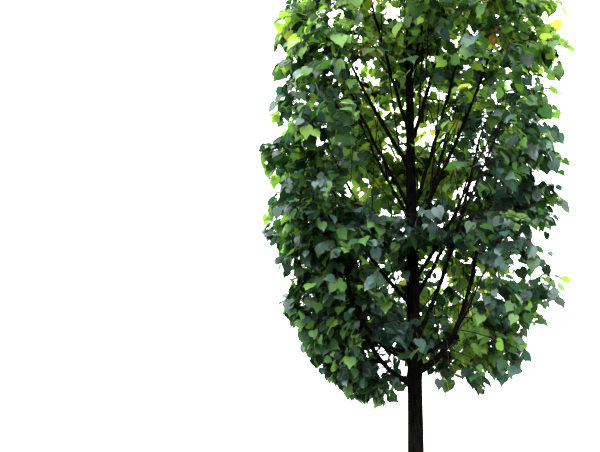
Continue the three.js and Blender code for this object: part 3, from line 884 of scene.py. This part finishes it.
# Where the crown is thin, as its viewer looks through it: a name, how far left, right,
# down and up at the trunk, and the shares of the leaves in front of the trunk and behind
# it that grow there all the same. Where two places overlap, the first one holds.
THIN_PLACES = [
    ("outside_the_low_right", 1.02, 1.7, 2.55, 3.5, 0.24, 0.28),
    ("notch_on_the_low_right", 0.84, 1.02, 2.58, 2.8, 0.3, 0.35),
    ("beside_the_low_limb", 0.5, 1.02, 2.35, 3.42, 0.52, 0.52),
    ("leaves_across_the_trunk", -0.3, 0.4, 3.3, 3.62, 0.66, 0.3),
    ("leaves_low_across_the_trunk", -0.12, 0.14, 2.42, 2.72, 1.0, 1.0),
    ("leaves_under_the_left_limb", -0.5, -0.1, 1.85, 2.2, 1.0, 1.0),
    ("gap_high_on_the_left", -0.26, -0.06, 5.3, 5.54, 0.0, 0.2),
    ("gap_high_on_the_right", 0.3, 0.44, 5.04, 5.2, 0.1, 0.3),
    ("gap_left_of_the_tip", -0.43, -0.25, 4.76, 4.95, 0.0, 0.25),
    ("gap_left_of_the_leader", -0.34, -0.1, 4.46, 4.66, 0.0, 0.4),
    ("gap_right_of_the_leader", 0.05, 0.36, 4.46, 4.64, 0.0, 0.5),
    ("gap_by_the_leader", 0.07, 0.19, 4.2, 4.4, 0.0, 0.3),
    ("gap_in_the_fan", 0.49, 0.65, 4.15, 4.34, 0.0, 0.3),
    ("gap_below_the_fan", 0.58, 0.69, 3.9, 4.1, 0.0, 0.3),
    ("gap_between_the_limbs", 0.38, 0.51, 3.55, 3.88, 0.0, 0.4),
    ("gap_over_the_low_limb", 0.08, 0.2, 3.1, 3.26, 0.0, 0.3),
    ("leaves_above_the_fan", 0.32, 0.6, 4.62, 4.88, 0.9, 1.0),
    ("before_the_leader", -0.42, 0.72, 3.6, 4.72, 0.13, 0.84),
    ("before_the_trunk", -0.09, 0.12, 2.72, 3.24, 0.03, 0.9),
    ("leaves_over_the_fork", 0.4, 0.8, 2.4, 2.72, 1.0, 0.8),
    ("before_the_low_limb", 0.12, 0.56, 2.28, 3.28, 0.04, 0.62),
    ("before_the_lower_trunk", -0.1, 0.12, 1.8, 2.33, 0.0, 0.0),
    ("before_the_left_limbs", -0.36, -0.09, 2.14, 2.47, 0.04, 0.5),
    ("under_the_low_limb", 0.12, 1.2, 1.8, 2.24, 0.2, 0.2),
    ("leaves_over_the_leader", -0.14, 0.16, 4.86, 5.6, 1.0, 0.7),
    ("before_the_upper_leader", -0.7, 0.8, 4.72, 5.6, 0.6, 0.66),
    ("before_the_crown", -0.8, 0.9, 2.3, 5.2, 0.75, 0.95),
]
# The limbs that are seen all along, and how near to the line of sight to one of them no
# leaf hangs in front of it, but by chance. The trunk is seen in two stretches.
SEEN_LIMBS = [
    "low_right", "low_left", "mid_right", "mid_back_right", "fan_right", "fan_back_right", "fan_left",
    "fan_back", "mid_left",
]
SEEN_TRUNK = [(2.72, 3.24), (3.62, 4.75)]
SEEN_TRUNK_STEP = 0.03
CLEAR_BESIDE = 0.045
CLEAR_BUT_FOR = 0.05
COVERED_BAND = (3.26, 3.6)
EDGE_WANDER = 0.045
EDGE_WANDER_LENGTH = 0.026
EDGE_WANDER_TURN = 7


def seen_at_trunk(points):
    """Where the line from the eye through each point crosses the upright plane of the
    trunk: how far right of the trunk, and how high."""
    stretch = -EYE[1] / (points[..., 1] - EYE[1])
    height = EYE[2] + (points[..., 2] - EYE[2]) * stretch
    right = EYE[0] + (points[..., 0] - EYE[0]) * stretch
    return right - trunk_axis(height)[..., 0], height


def at_places(places, points, elsewhere):
    """A number for each point: the one of the first place that it is seen in, in front of
    the trunk or behind it. The edges of the places wander by a sine of the height and of
    the distance to the right."""
    right, height = seen_at_trunk(points)
    phase = np.stack([height, right]) / EDGE_WANDER_LENGTH + EDGE_WANDER_TURN * points[..., 1]
    wander = EDGE_WANDER * np.sin(phase)
    right, height = right + wander[0], height + wander[1]
    number = np.full(height.shape, elsewhere)
    for _, left_edge, right_edge, low, high, before, behind in reversed(places):
        inside = (right > left_edge) & (right < right_edge) & (height > low) & (height < high)
        number = np.where(inside, np.where(points[..., 1] < 0, before, behind), number)
    return number


def before_limbs(points):
    """Whether points hang in front of a limb that is seen, other than in the band where
    foliage crosses them all."""
    right, height = seen_at_trunk(points)
    hidden = np.zeros(height.shape, bool)
    for line in seen_lines:
        line_right, line_height = seen_at_trunk(line)
        apart = np.hypot(right[:, None] - line_right, height[:, None] - line_height)
        near = apart.argmin(axis=1)
        hidden |= (apart.min(axis=1) < CLEAR_BESIDE) & (points[:, 1] < line[near, 1])
    return hidden & ~((height > COVERED_BAND[0]) & (height < COVERED_BAND[1]))


seen_lines = bare_lines + [bough_lines[bough_names.index(name)][::2] for name in SEEN_LIMBS]
seen_lines += [trunk_axis(np.arange(low, high, SEEN_TRUNK_STEP)) for low, high in SEEN_TRUNK]


def add_shoots(mass, line, first, spacing, hand, length_scale):
    """Side shoots along a line, on its two sides in turn, each drooping to its tip, and
    one that runs on from its end. One is shortened, or left out, where it would leave the
    crown, or its mass's own part, or touch a limb."""
    length = np.sum(np.linalg.norm(np.diff(line, axis=0), axis=1))
    for along in [*np.arange(first * length, length, spacing) / length, 1.0]:
        hand = -hand
        for_roll, for_lean, for_length, rank, for_tint, _ = random.random(6)
        places = [along, max(along - 2 * NEARBY, 0), min(along + 2 * NEARBY, 1)]
        root, before, beyond = even_points(line, places)
        ahead = unit(beyond - before)
        level = unit(np.cross(ahead, UP) + NUDGE)
        over = np.cross(level, ahead)
        roll = math.radians(SHOOT_ROLL * (for_roll - 0.5))
        lean = math.radians(0.0 if along == 1 else SHOOT_LEAN + SHOOT_LEAN_SPREAD * (for_lean - 0.5))
        sideways = hand * (level * math.cos(roll) + over * math.sin(roll))
        sag = SHOOT_SAG + SHOOT_MORE_SAG * (1 - crown_share(root[2])) ** 2
        heading = unit(ahead * math.cos(lean) + sideways * math.sin(lean) - UP * sag)
        chance = 1 + SHOOT_LENGTH_SPREAD * (for_length - 0.5)
        full = SHOOT_LENGTH * length_scale * chance * (SHOOT_LONGEST - SHOOT_SHRINK * along)
        way = np.linspace(0, 1, SHOOT_POINTS)[:, None]
        for part in SHOOT_SHORTENINGS:
            reach = full * part
            path = root + heading * reach * way - UP * SHOOT_DROOP * reach * way ** 2
            inside = crown_room(path[-1]) > SHOOT_EDGE_ROOM
            if mass != ANY_MASS:
                inside = inside and own_room(mass, path[-1]) > -SHOOT_OVERLAP
            if inside and (limb_gap(path[SHOOT_FREE_FROM:], ANY_MASS) > SHOOT_LIMB_GAP).all():
                if rank < at_places(THIN_PLACES, path[SHOOT_POINTS // 2], 1.0):
                    shoots.append((path, for_tint, rank))
                break


shoots = []
for number, (mass, line, _, _, scale) in enumerate(carriers):
    if scale > BARE:
        add_shoots(mass, line, SHOOTS_FROM, SHOOT_SPACING, 1 if number % 2 else -1, scale)
for line in bough_lines:
    add_shoots(ANY_MASS, line, BOUGH_SHOOTS_FROM, BOUGH_SHOOT_SPACING, 1, BOUGH_SHOOTS)
leader_top = trunk_axis(np.linspace(LEADER_SHOOTS_FROM, TRUNK_HEIGHT, LEADER_SAMPLES))
add_shoots(ANY_MASS, leader_top, 0.0, SHOOT_SPACING, 1, LEADER_SHOOTS)
add_shoots(ANY_MASS, stems[-1], 0.0, TOP_SHOOTS_CLOSER * SHOOT_SPACING, -1, TOP_SHOOTS)
shoot_lines = np.array([shoot[0] for shoot in shoots])
shoot_chances = np.array([shoot[1] for shoot in shoots])
shoot_ranks = np.array([shoot[2] for shoot in shoots])
shoot_share = np.linspace(0, 1, SHOOT_POINTS)
shoot_level = unit(np.cross(shoot_lines[:, -1] - shoot_lines[:, 0], UP) + NUDGE)
zigzag = SHOOT_ZIGZAG * (-1.0) ** np.arange(SHOOT_POINTS) * (shoot_share > 0)
zigzag = zigzag * (1 - ZIGZAG_FADE * shoot_share)
shoot_lines = shoot_lines + shoot_level[:, None] * zigzag[:, None]


# Leaf stalks and blades
# Leaves stand in two rows, one at each bud. A thin stalk, green with a reddish tinge, holds
# the soft blade, which hangs: broad and heart-shaped, one lobe larger than the other, with
# a short drawn-out tip and teeth.
LEAF_LENGTH = 0.09
LEAF_WIDTH = 0.09
LEAF_SIZES = (0.45, 1.18)
LEAF_SIZE_POWER = 0.8
LEAF_DROOPS = (0.05, 1.15)
LEAF_SPACING = 0.027
STALK_LENGTH = 0.045
STALK_RADIUS = 0.0016
STALK_POINTS = 2
STALK_SIDES = 3
STALK_SAG = 0.35
# How far a stalk and a blade point along the shoot, at its tip and beside it, and aside,
# how far the stalk points down, and how much of each is chance.
STALK_AHEAD = (1.0, 0.55)
STALK_ASIDE = 0.8
STALK_DOWN = 0.3
STALK_CHANCE = 0.22
BLADE_AHEAD = (0.9, 0.45)
BLADE_ASIDE = 0.55
BLADE_CHANCE = 0.3
FACING_SPREAD = 260
FACING_UP = 0.3
FACING_UP_SPREAD = 1.9
FOLD_LEAST = 0.4
FOLD_SPREAD = 2.4
LEAF_LIMB_GAP = 0.006
BOX_ROOM = 0.05
LEAST_LEAVES = 3
GAP_BATCHES = 60
# Dead sprays: where each hangs and how far it reaches round there, and the share of dead
# leaves elsewhere. Dead leaves have rolled up, so that they are narrow.
DEAD_SPRAYS = [((0.69, -0.79, 4.78), 0.12), ((-0.33, -0.74, 4.74), 0.09)]
DEAD_ELSEWHERE = 0.0008
DEAD_WIDTH = 0.04

node_share = shoot_share[1:]
node_count = len(node_share)
leaf_roots = shoot_lines[:, 1:].reshape(-1, 3)
leaf_ahead = unit(np.gradient(shoot_lines, axis=1)[:, 1:]).reshape(-1, 3)
leaf_shoot = np.repeat(np.arange(len(shoots)), node_count)
leaf_hand = np.tile(np.where(np.arange(node_count) % 2, 1.0, -1.0), len(shoots))
shoot_length = np.linalg.norm(shoot_lines[:, -1] - shoot_lines[:, 0], axis=1)
leaf_last = np.tile(np.arange(node_count) == node_count - 1, len(shoots))
leaf_spacing = shoot_length[leaf_shoot] / node_count
leaf_noise = random.normal(size=(len(leaf_roots), 3))
# Six chances for each leaf: whether it grows, its size, which way it faces and whether it
# is dead, how far it faces up, how far it droops, and its tint.
leaf_chance = random.random((len(leaf_roots), 6))
kept = leaf_last | (leaf_chance[:, 0] < leaf_spacing / LEAF_SPACING)

# The blade's own measures, as shares of its length and width.
SIDE_POINTS = 7
MIDRIB = np.array([0.02, 0.2, 0.43, 0.68, 1.1])
# The tip and every second point of the edge on each side, by their numbers in the blade.
RIM = [4, 5, 7, 9, 11, 12, 14, 16, 18]
EDGE_START = 0.8
BLADE_RADIUS = 0.47
BLADE_MIDDLE = 0.37
BLADE_BREADTH = 1.17
BLADE_NARROWS = 0.4
LOBE_PLACE = 2.5
LOBE_BREADTH = 0.42
LARGE_LOBE, SMALL_LOBE = 0.1, 0.05
TOOTH = 0.045
FOLD_UP = 0.26
ARCH_ACROSS = 0.55
ARCH_ALONG = 0.22
ARCH_PLACE = 0.35


def leaf_edge(lobe):
    """One side of the unit blade's edge, from the stalk round to the tip: a circle that
    narrows towards the tip, swells at the lobe beside the stalk and is toothed between."""
    turn = math.pi * (1 - (np.arange(SIDE_POINTS) + EDGE_START) / (SIDE_POINTS + EDGE_START))
    reach = BLADE_RADIUS + lobe * np.exp(-((turn - LOBE_PLACE) / LOBE_BREADTH) ** 2)
    reach = reach * (1 + TOOTH * (-1.0) ** np.arange(SIDE_POINTS))
    along = BLADE_MIDDLE + reach * np.cos(turn)
    aside = reach * np.sin(turn) * (BLADE_BREADTH - BLADE_NARROWS * along)
    return np.stack([aside, along], axis=-1)


def leaf_pattern():
    """One blade: five points down its midrib and an edge on each side, one lobe larger.
    It folds up from the midrib and arches down to its tip and sides. Returns its points
    (across, along, lift), its four-sided faces and its three-sided ones."""
    right, left = leaf_edge(LARGE_LOBE), leaf_edge(SMALL_LOBE) * np.array([-1.0, 1.0])
    midrib = np.stack([np.zeros_like(MIDRIB), MIDRIB], axis=-1)
    flat = np.concatenate([midrib, right, left])
    lift = FOLD_UP * np.abs(flat[:, 0]) - ARCH_ACROSS * flat[:, 0] ** 2
    lift = lift - ARCH_ALONG * (flat[:, 1] - ARCH_PLACE) ** 2
    lift = lift - lift[0]
    quads, triangles = [], []
    for side, turn in ((len(MIDRIB), 1), (len(MIDRIB) + SIDE_POINTS, -1)):
        edge = side + np.arange(SIDE_POINTS)
        quads += [(0, edge[0], edge[1], 1)[::turn], (1, edge[1], edge[2], 2)[::turn]]
        quads += [(2, edge[3], edge[4], 3)[::turn], (3, edge[5], edge[6], 4)[::turn]]
        triangles += [(2, edge[2], edge[3])[::turn], (3, edge[4], edge[5])[::turn]]
    return np.column_stack([flat, lift]), np.array(quads), np.array(triangles)


blade, blade_quads, blade_fans = leaf_pattern()
level = unit(np.cross(leaf_ahead, UP) + NUDGE)
hand = np.where(leaf_last, 0.0, leaf_hand)[:, None]
stalk_heading = leaf_ahead * np.where(hand == 0, *STALK_AHEAD) + level * hand * STALK_ASIDE
stalk_heading = unit(stalk_heading - UP * STALK_DOWN + STALK_CHANCE * leaf_noise)
leaf_size = LEAF_SIZES[0] + (LEAF_SIZES[1] - LEAF_SIZES[0]) * leaf_chance[:, 1] ** LEAF_SIZE_POWER
stalk_length = STALK_LENGTH * leaf_size
way = np.linspace(0, 1, STALK_POINTS)[None, :, None]
stalks = (
    leaf_roots[:, None] + stalk_heading[:, None] * stalk_length[:, None, None] * way
    - UP * STALK_SAG * stalk_length[:, None, None] * way ** 2
)
droop = (LEAF_DROOPS[0] + (LEAF_DROOPS[1] - LEAF_DROOPS[0]) * leaf_chance[:, 4])[:, None]
blade_heading = leaf_ahead * np.where(hand == 0, *BLADE_AHEAD) + level * hand * BLADE_ASIDE
blade_heading = unit(blade_heading - UP * droop + BLADE_CHANCE * leaf_noise)
from_axis = leaf_roots - trunk_axis(leaf_roots[:, 2])
leaf_bearing = np.degrees(np.arctan2(from_axis[:, 1], from_axis[:, 0]))
facing_bearing = leaf_bearing + FACING_SPREAD * (leaf_chance[:, 2] - 0.5)
facing_up = FACING_UP + FACING_UP_SPREAD * leaf_chance[:, 3]
facing = outward(facing_bearing) + UP * facing_up[:, None]
across = unit(np.cross(facing, blade_heading))
normal = np.cross(blade_heading, across)
dead = leaf_chance[:, 2] > 1 - DEAD_ELSEWHERE
for place, reach in DEAD_SPRAYS:
    dead |= np.linalg.norm(stalks[:, -1] - np.array(place), axis=1) < reach
blade_width = np.where(dead, DEAD_WIDTH, LEAF_WIDTH)[:, None, None]
blade_size = leaf_size[:, None, None]
uneven = leaf_noise[:, 0] ** 2
fold = FOLD_LEAST + FOLD_SPREAD * uneven / (1 + uneven)
blades = (
    stalks[:, -1][:, None]
    + across[:, None] * blade[None, :, 0, None] * blade_width * blade_size
    + blade_heading[:, None] * blade[None, :, 1, None] * LEAF_LENGTH * blade_size
    + normal[:, None] * blade[None, :, 2, None] * LEAF_LENGTH * blade_size * fold[:, None, None]
)
rim = blades[:, RIM]
kept &= (crown_room(rim) > 0).all(axis=1)
least, most = np.array(cad_box[0]) - BOX_ROOM, np.array(cad_box[1]) + BOX_ROOM
kept &= ((rim > least) & (rim < most)).all(axis=(1, 2))
leaf_middles = blades.mean(axis=1)
kept &= shoot_ranks[leaf_shoot] < at_places(THIN_PLACES, leaf_middles, 1.0)
kept &= ~before_limbs(leaf_middles) | (leaf_chance[:, 0] < CLEAR_BUT_FOR)
# The gaps to the limbs are measured in batches, so that they take little memory.
for some in np.array_split(np.flatnonzero(kept), GAP_BATCHES):
    kept[some] = (limb_gap(rim[some], ANY_MASS) > LEAF_LIMB_GAP).all(axis=1)
# A shoot with too few leaves is left out, so the shoots are put in only here.
shoot_leaves = np.bincount(leaf_shoot[kept], minlength=len(shoots))
leafy = shoot_leaves >= LEAST_LEAVES
kept &= leafy[leaf_shoot]
shoot_taper = SHOOT_RADIUS * (1 - shoot_share) + SHOOT_TIP_RADIUS * shoot_share
shoot_radii = np.tile(shoot_taper, (int(leafy.sum()), 1))
shoot_points, shoot_quads, shoot_caps = tubes(shoot_lines[leafy], shoot_radii, SHOOT_SIDES)
put_piece("side_shoots", shoot_points, shoot_quads, shoot_caps, twig_bark, [])

stalk_green, start, output = new_material("leaf_stalk")
mottle = start.node("ShaderNodeTexNoise", Vector=start.node("ShaderNodeTexCoord", output=3), Scale=40.0)
stalk_colour = start.node(
    "ShaderNodeMix", {"data_type": "RGBA"}, output=2,
    _0=mottle, _6=(0.045, 0.07, 0.02, 1), _7=(0.08, 0.05, 0.02, 1),
)
stalk_surface = start.node("ShaderNodeBsdfPrincipled", Base_Color=stalk_colour, Roughness=0.55)
stalk_green.node_tree.links.new(stalk_surface.link, output.inputs["Surface"])
stalk_radii = np.full((int(kept.sum()), STALK_POINTS), STALK_RADIUS)
stalk_points, stalk_quads, stalk_caps = tubes(stalks[kept], stalk_radii, STALK_SIDES)
put_piece("leaf_stalks", stalk_points, stalk_quads, stalk_caps, stalk_green, [])


# Leaf tints
# Leaves of a shoot are much alike. Low down and on the outside there are a few more deep
# greens, painted shade, and higher up and inside a few more fresh and light ones, painted
# light. Some places get deeper or lighter greens still, painted shade and painted light.
# A few shoots have begun to turn yellow, and some leaves are dead and brown.
VEIN_PAIRS = 7.0
SIDE_VEIN_SHARE = 0.3
VEIN_BREADTH = 0.05
VEIN_DENT = 0.002
THROUGH = 0.44
# Each tint: its name, slot, share of the leaves, colour of the blade and of the light that
# comes through, gloss and roughness. Dead leaves aren't dealt out by share.
TINTS = [
    # The first tint's blue-grey cast in its blade colour is a painted reflection of the pale sky, on top
    # of its gloss.
    ("green_with_painted_sky_sheen", "leaf_deep", 0.13, (0.056, 0.106, 0.092), (0.05, 0.13, 0.06), 0.85, 0.32),
    # The next tint's near-black green is darker than a leaf: painted shade among the foliage.
    ("near_black_green_painted_shade", "leaf_deep", 0.2, (0.014, 0.036, 0.019), (0.02, 0.06, 0.015), 0.6, 0.34),
    ("mid_green", "leaf_mid", 0.22, (0.045, 0.100, 0.044), (0.08, 0.18, 0.035), 0.6, 0.36),
    ("mid_grass_green", "leaf_mid", 0.21, (0.085, 0.165, 0.060), (0.20, 0.36, 0.06), 0.5, 0.38),
    ("fresh_green", "leaf_fresh", 0.15, (0.135, 0.240, 0.078), (0.34, 0.54, 0.08), 0.45, 0.4),
    ("light_green", "leaf_light", 0.08, (0.210, 0.330, 0.095), (0.54, 0.74, 0.10), 0.4, 0.42),
    ("yellowing", "leaf_yellowing", 0.01, (0.340, 0.350, 0.080), (0.76, 0.74, 0.12), 0.4, 0.45),
    ("dead_brown", "leaf_yellowing", 0.0, (0.240, 0.092, 0.027), (0.52, 0.17, 0.025), 0.3, 0.7),
]
# Where the leaves are painted deeper green than elsewhere, as shade, given as the thin
# places are, with how much deeper before the trunk and behind it. With a minus sign they
# are painted lighter, as light.
PAINTED_SHADE_AND_LIGHT_PLACES = [
    ("across_the_trunk", -0.38, 0.66, 3.26, 3.64, 0.3, 0.0),
    ("low_across_the_trunk", -0.38, 0.3, 2.42, 2.74, 0.3, 0.0),
    ("round_the_leader", -0.45, 0.45, 3.6, 4.9, -0.1, -0.2),
    ("inside_the_low_limb", -0.1, 0.6, 2.3, 3.3, -0.1, -0.24),
    ("right_of_the_fan", 0.5, 1.7, 3.1, 4.45, 0.12, 0.16),
    ("beside_the_low_limb", 0.6, 1.7, 1.9, 3.1, 0.02, 0.02),
    ("top_of_the_view", -1.2, 1.4, 4.9, 5.6, -0.1, -0.1),
]


def leaf_material(name, colour, through, gloss, roughness):
    """A thin glossy blade that lets light through. Veins run from the midrib to the edge
    on lines that rise with the distance from it, and dent the blade."""
    material, start, output = new_material(name)
    place = start.node("ShaderNodeUVMap", {"uv_map": "UVMap"})
    parts = start.node("ShaderNodeSeparateXYZ", Vector=place)
    along = Socket(parts.tree, parts.link.node.outputs[1])
    from_midrib = start.math("ABSOLUTE", parts + -0.5)
    side_veins = start.math("PINGPONG", (along + -1.0 * from_midrib) * VEIN_PAIRS, 0.5)
    veins = start.math("MINIMUM", side_veins * SIDE_VEIN_SHARE, from_midrib)
    dent = start.node(
        "ShaderNodeMapRange", {"interpolation_type": "SMOOTHSTEP"}, _0=veins, _1=0.0, _2=VEIN_BREADTH,
    )
    relief = start.node("ShaderNodeBump", Strength=0.5, Distance=VEIN_DENT, Height=dent)
    skin = start.node(
        "ShaderNodeBsdfPrincipled", Base_Color=(*colour, 1), Roughness=roughness,
        Normal=relief, Specular_IOR_Level=gloss,
    )
    glow = start.node("ShaderNodeBsdfTranslucent", Color=(*through, 1), Normal=relief)
    both = start.node("ShaderNodeMixShader", _0=THROUGH, _1=skin, _2=glow)
    material.node_tree.links.new(both.link, output.inputs["Surface"])
    return material


# How much the freshness of a leaf's green goes by the height, as painted light, by how
# near the outside is, as painted shade, by the shoot's own chance and by the leaf's.
PAINTED_LIGHT_BY_HEIGHT = 0.15
PAINTED_SHADE_BY_OUTSIDE = 0.1
BY_SHOOT = 0.5
BY_LEAF = 0.45
OUTSIDE_DEPTH = 0.7
shoot_middle = shoot_lines[:, SHOOT_POINTS // 2]
outside = 1 - np.clip(crown_room(shoot_middle) / OUTSIDE_DEPTH, 0, 1)
# The height term paints light higher up and the outside term paints shade at the edges; the chances are
# the leaves' own tone.
freshness_and_painted_shading = PAINTED_LIGHT_BY_HEIGHT * crown_share(shoot_middle[:, 2]) - PAINTED_SHADE_BY_OUTSIDE * outside + BY_SHOOT * shoot_chances
leaf_freshness_and_painted_shading = freshness_and_painted_shading[leaf_shoot] + BY_LEAF * leaf_chance[:, 5]
# Deeper and lighter greens by place are painted shade and painted light.
leaf_freshness_and_painted_shading = leaf_freshness_and_painted_shading - at_places(PAINTED_SHADE_AND_LIGHT_PLACES, leaf_middles, 0.0)
tint_limits = np.quantile(leaf_freshness_and_painted_shading[kept], np.cumsum([row[2] for row in TINTS[:-2]]))
leaf_tint = np.searchsorted(tint_limits, leaf_freshness_and_painted_shading)
leaf_tint[dead] = len(TINTS) - 1
UV_SCALE = 0.8
UV_STALK = (0.5, 0.15)
blade_uv = np.clip(blade[:, :2] * UV_SCALE + np.array(UV_STALK), 0, 1)
for number, (name, slot, _, colour, through, gloss, roughness) in enumerate(TINTS):
    chosen = kept & (leaf_tint == number)
    count = int(chosen.sum())
    offsets = (np.arange(count) * len(blade))[:, None, None]
    put_piece(
        "leaves_" + name, blades[chosen].reshape(-1, 3), (blade_quads + offsets).reshape(-1, 4),
        (blade_fans + offsets).reshape(-1, 3),
        leaf_material("leaf_" + name, colour, through, gloss, roughness),
        [], np.tile(blade_uv, (count, 1)),
    )


# Floor and light
# A plain dull grey floor, a bright surround that is nearly three times as bright overhead
# as at the horizon, like an overcast sky, and two weak broad lamps, one behind the tree
# and one in front.
FLOOR_SIZE = 120.0
HORIZON = 2.1
MORE_OVERHEAD = 3.7
floor_mesh = bpy.data.meshes.new("floor")
half = FLOOR_SIZE / 2
floor_corners = [(-half, -half, 0), (half, -half, 0), (half, half, 0), (-half, half, 0)]
floor_mesh.from_pydata(floor_corners, [], [(0, 1, 2, 3)])
floor = bpy.data.objects.new("floor", floor_mesh)
bpy.context.scene.collection.objects.link(floor)
floor_paint, start, output = new_material("floor_paint")
floor_surface = start.node("ShaderNodeBsdfPrincipled", Base_Color=(0.1, 0.1, 0.098, 1), Roughness=0.9)
floor_paint.node_tree.links.new(floor_surface.link, output.inputs["Surface"])
floor_mesh.materials.append(floor_paint)

world = bpy.data.worlds.new("surround")
world.use_nodes = True
world.node_tree.nodes.clear()
sky = Socket(world.node_tree, None)
height_up = sky.node("ShaderNodeSeparateXYZ", output=2, Vector=sky.node("ShaderNodeTexCoord"))
strength = HORIZON + MORE_OVERHEAD * sky.math("MAXIMUM", height_up, 0.0)
shine = sky.node("ShaderNodeBackground", Color=(0.95, 0.975, 1.0, 1), Strength=strength)
world_output = world.node_tree.nodes.new("ShaderNodeOutputWorld")
world.node_tree.links.new(shine.link, world_output.inputs["Surface"])
bpy.context.scene.world = world
bpy.context.scene.view_settings.view_transform = "Standard"
bpy.context.scene.view_settings.look = "High Contrast"

# Each lamp: its name, energy and breadth, and how far it is tipped from straight down and
# turned.
LAMPS = [("lamp_behind", 1.0, 30, -42, 8), ("lamp_in_front", 1.8, 60, 50, -25)]
for name, energy, breadth, tipped, turned in LAMPS:
    lamp_data = bpy.data.lights.new(name, "SUN")
    lamp_data.energy = energy
    lamp_data.angle = math.radians(breadth)
    lamp = bpy.data.objects.new(name, lamp_data)
    lamp.rotation_euler = (math.radians(tipped), 0, math.radians(turned))
    bpy.context.scene.collection.objects.link(lamp)
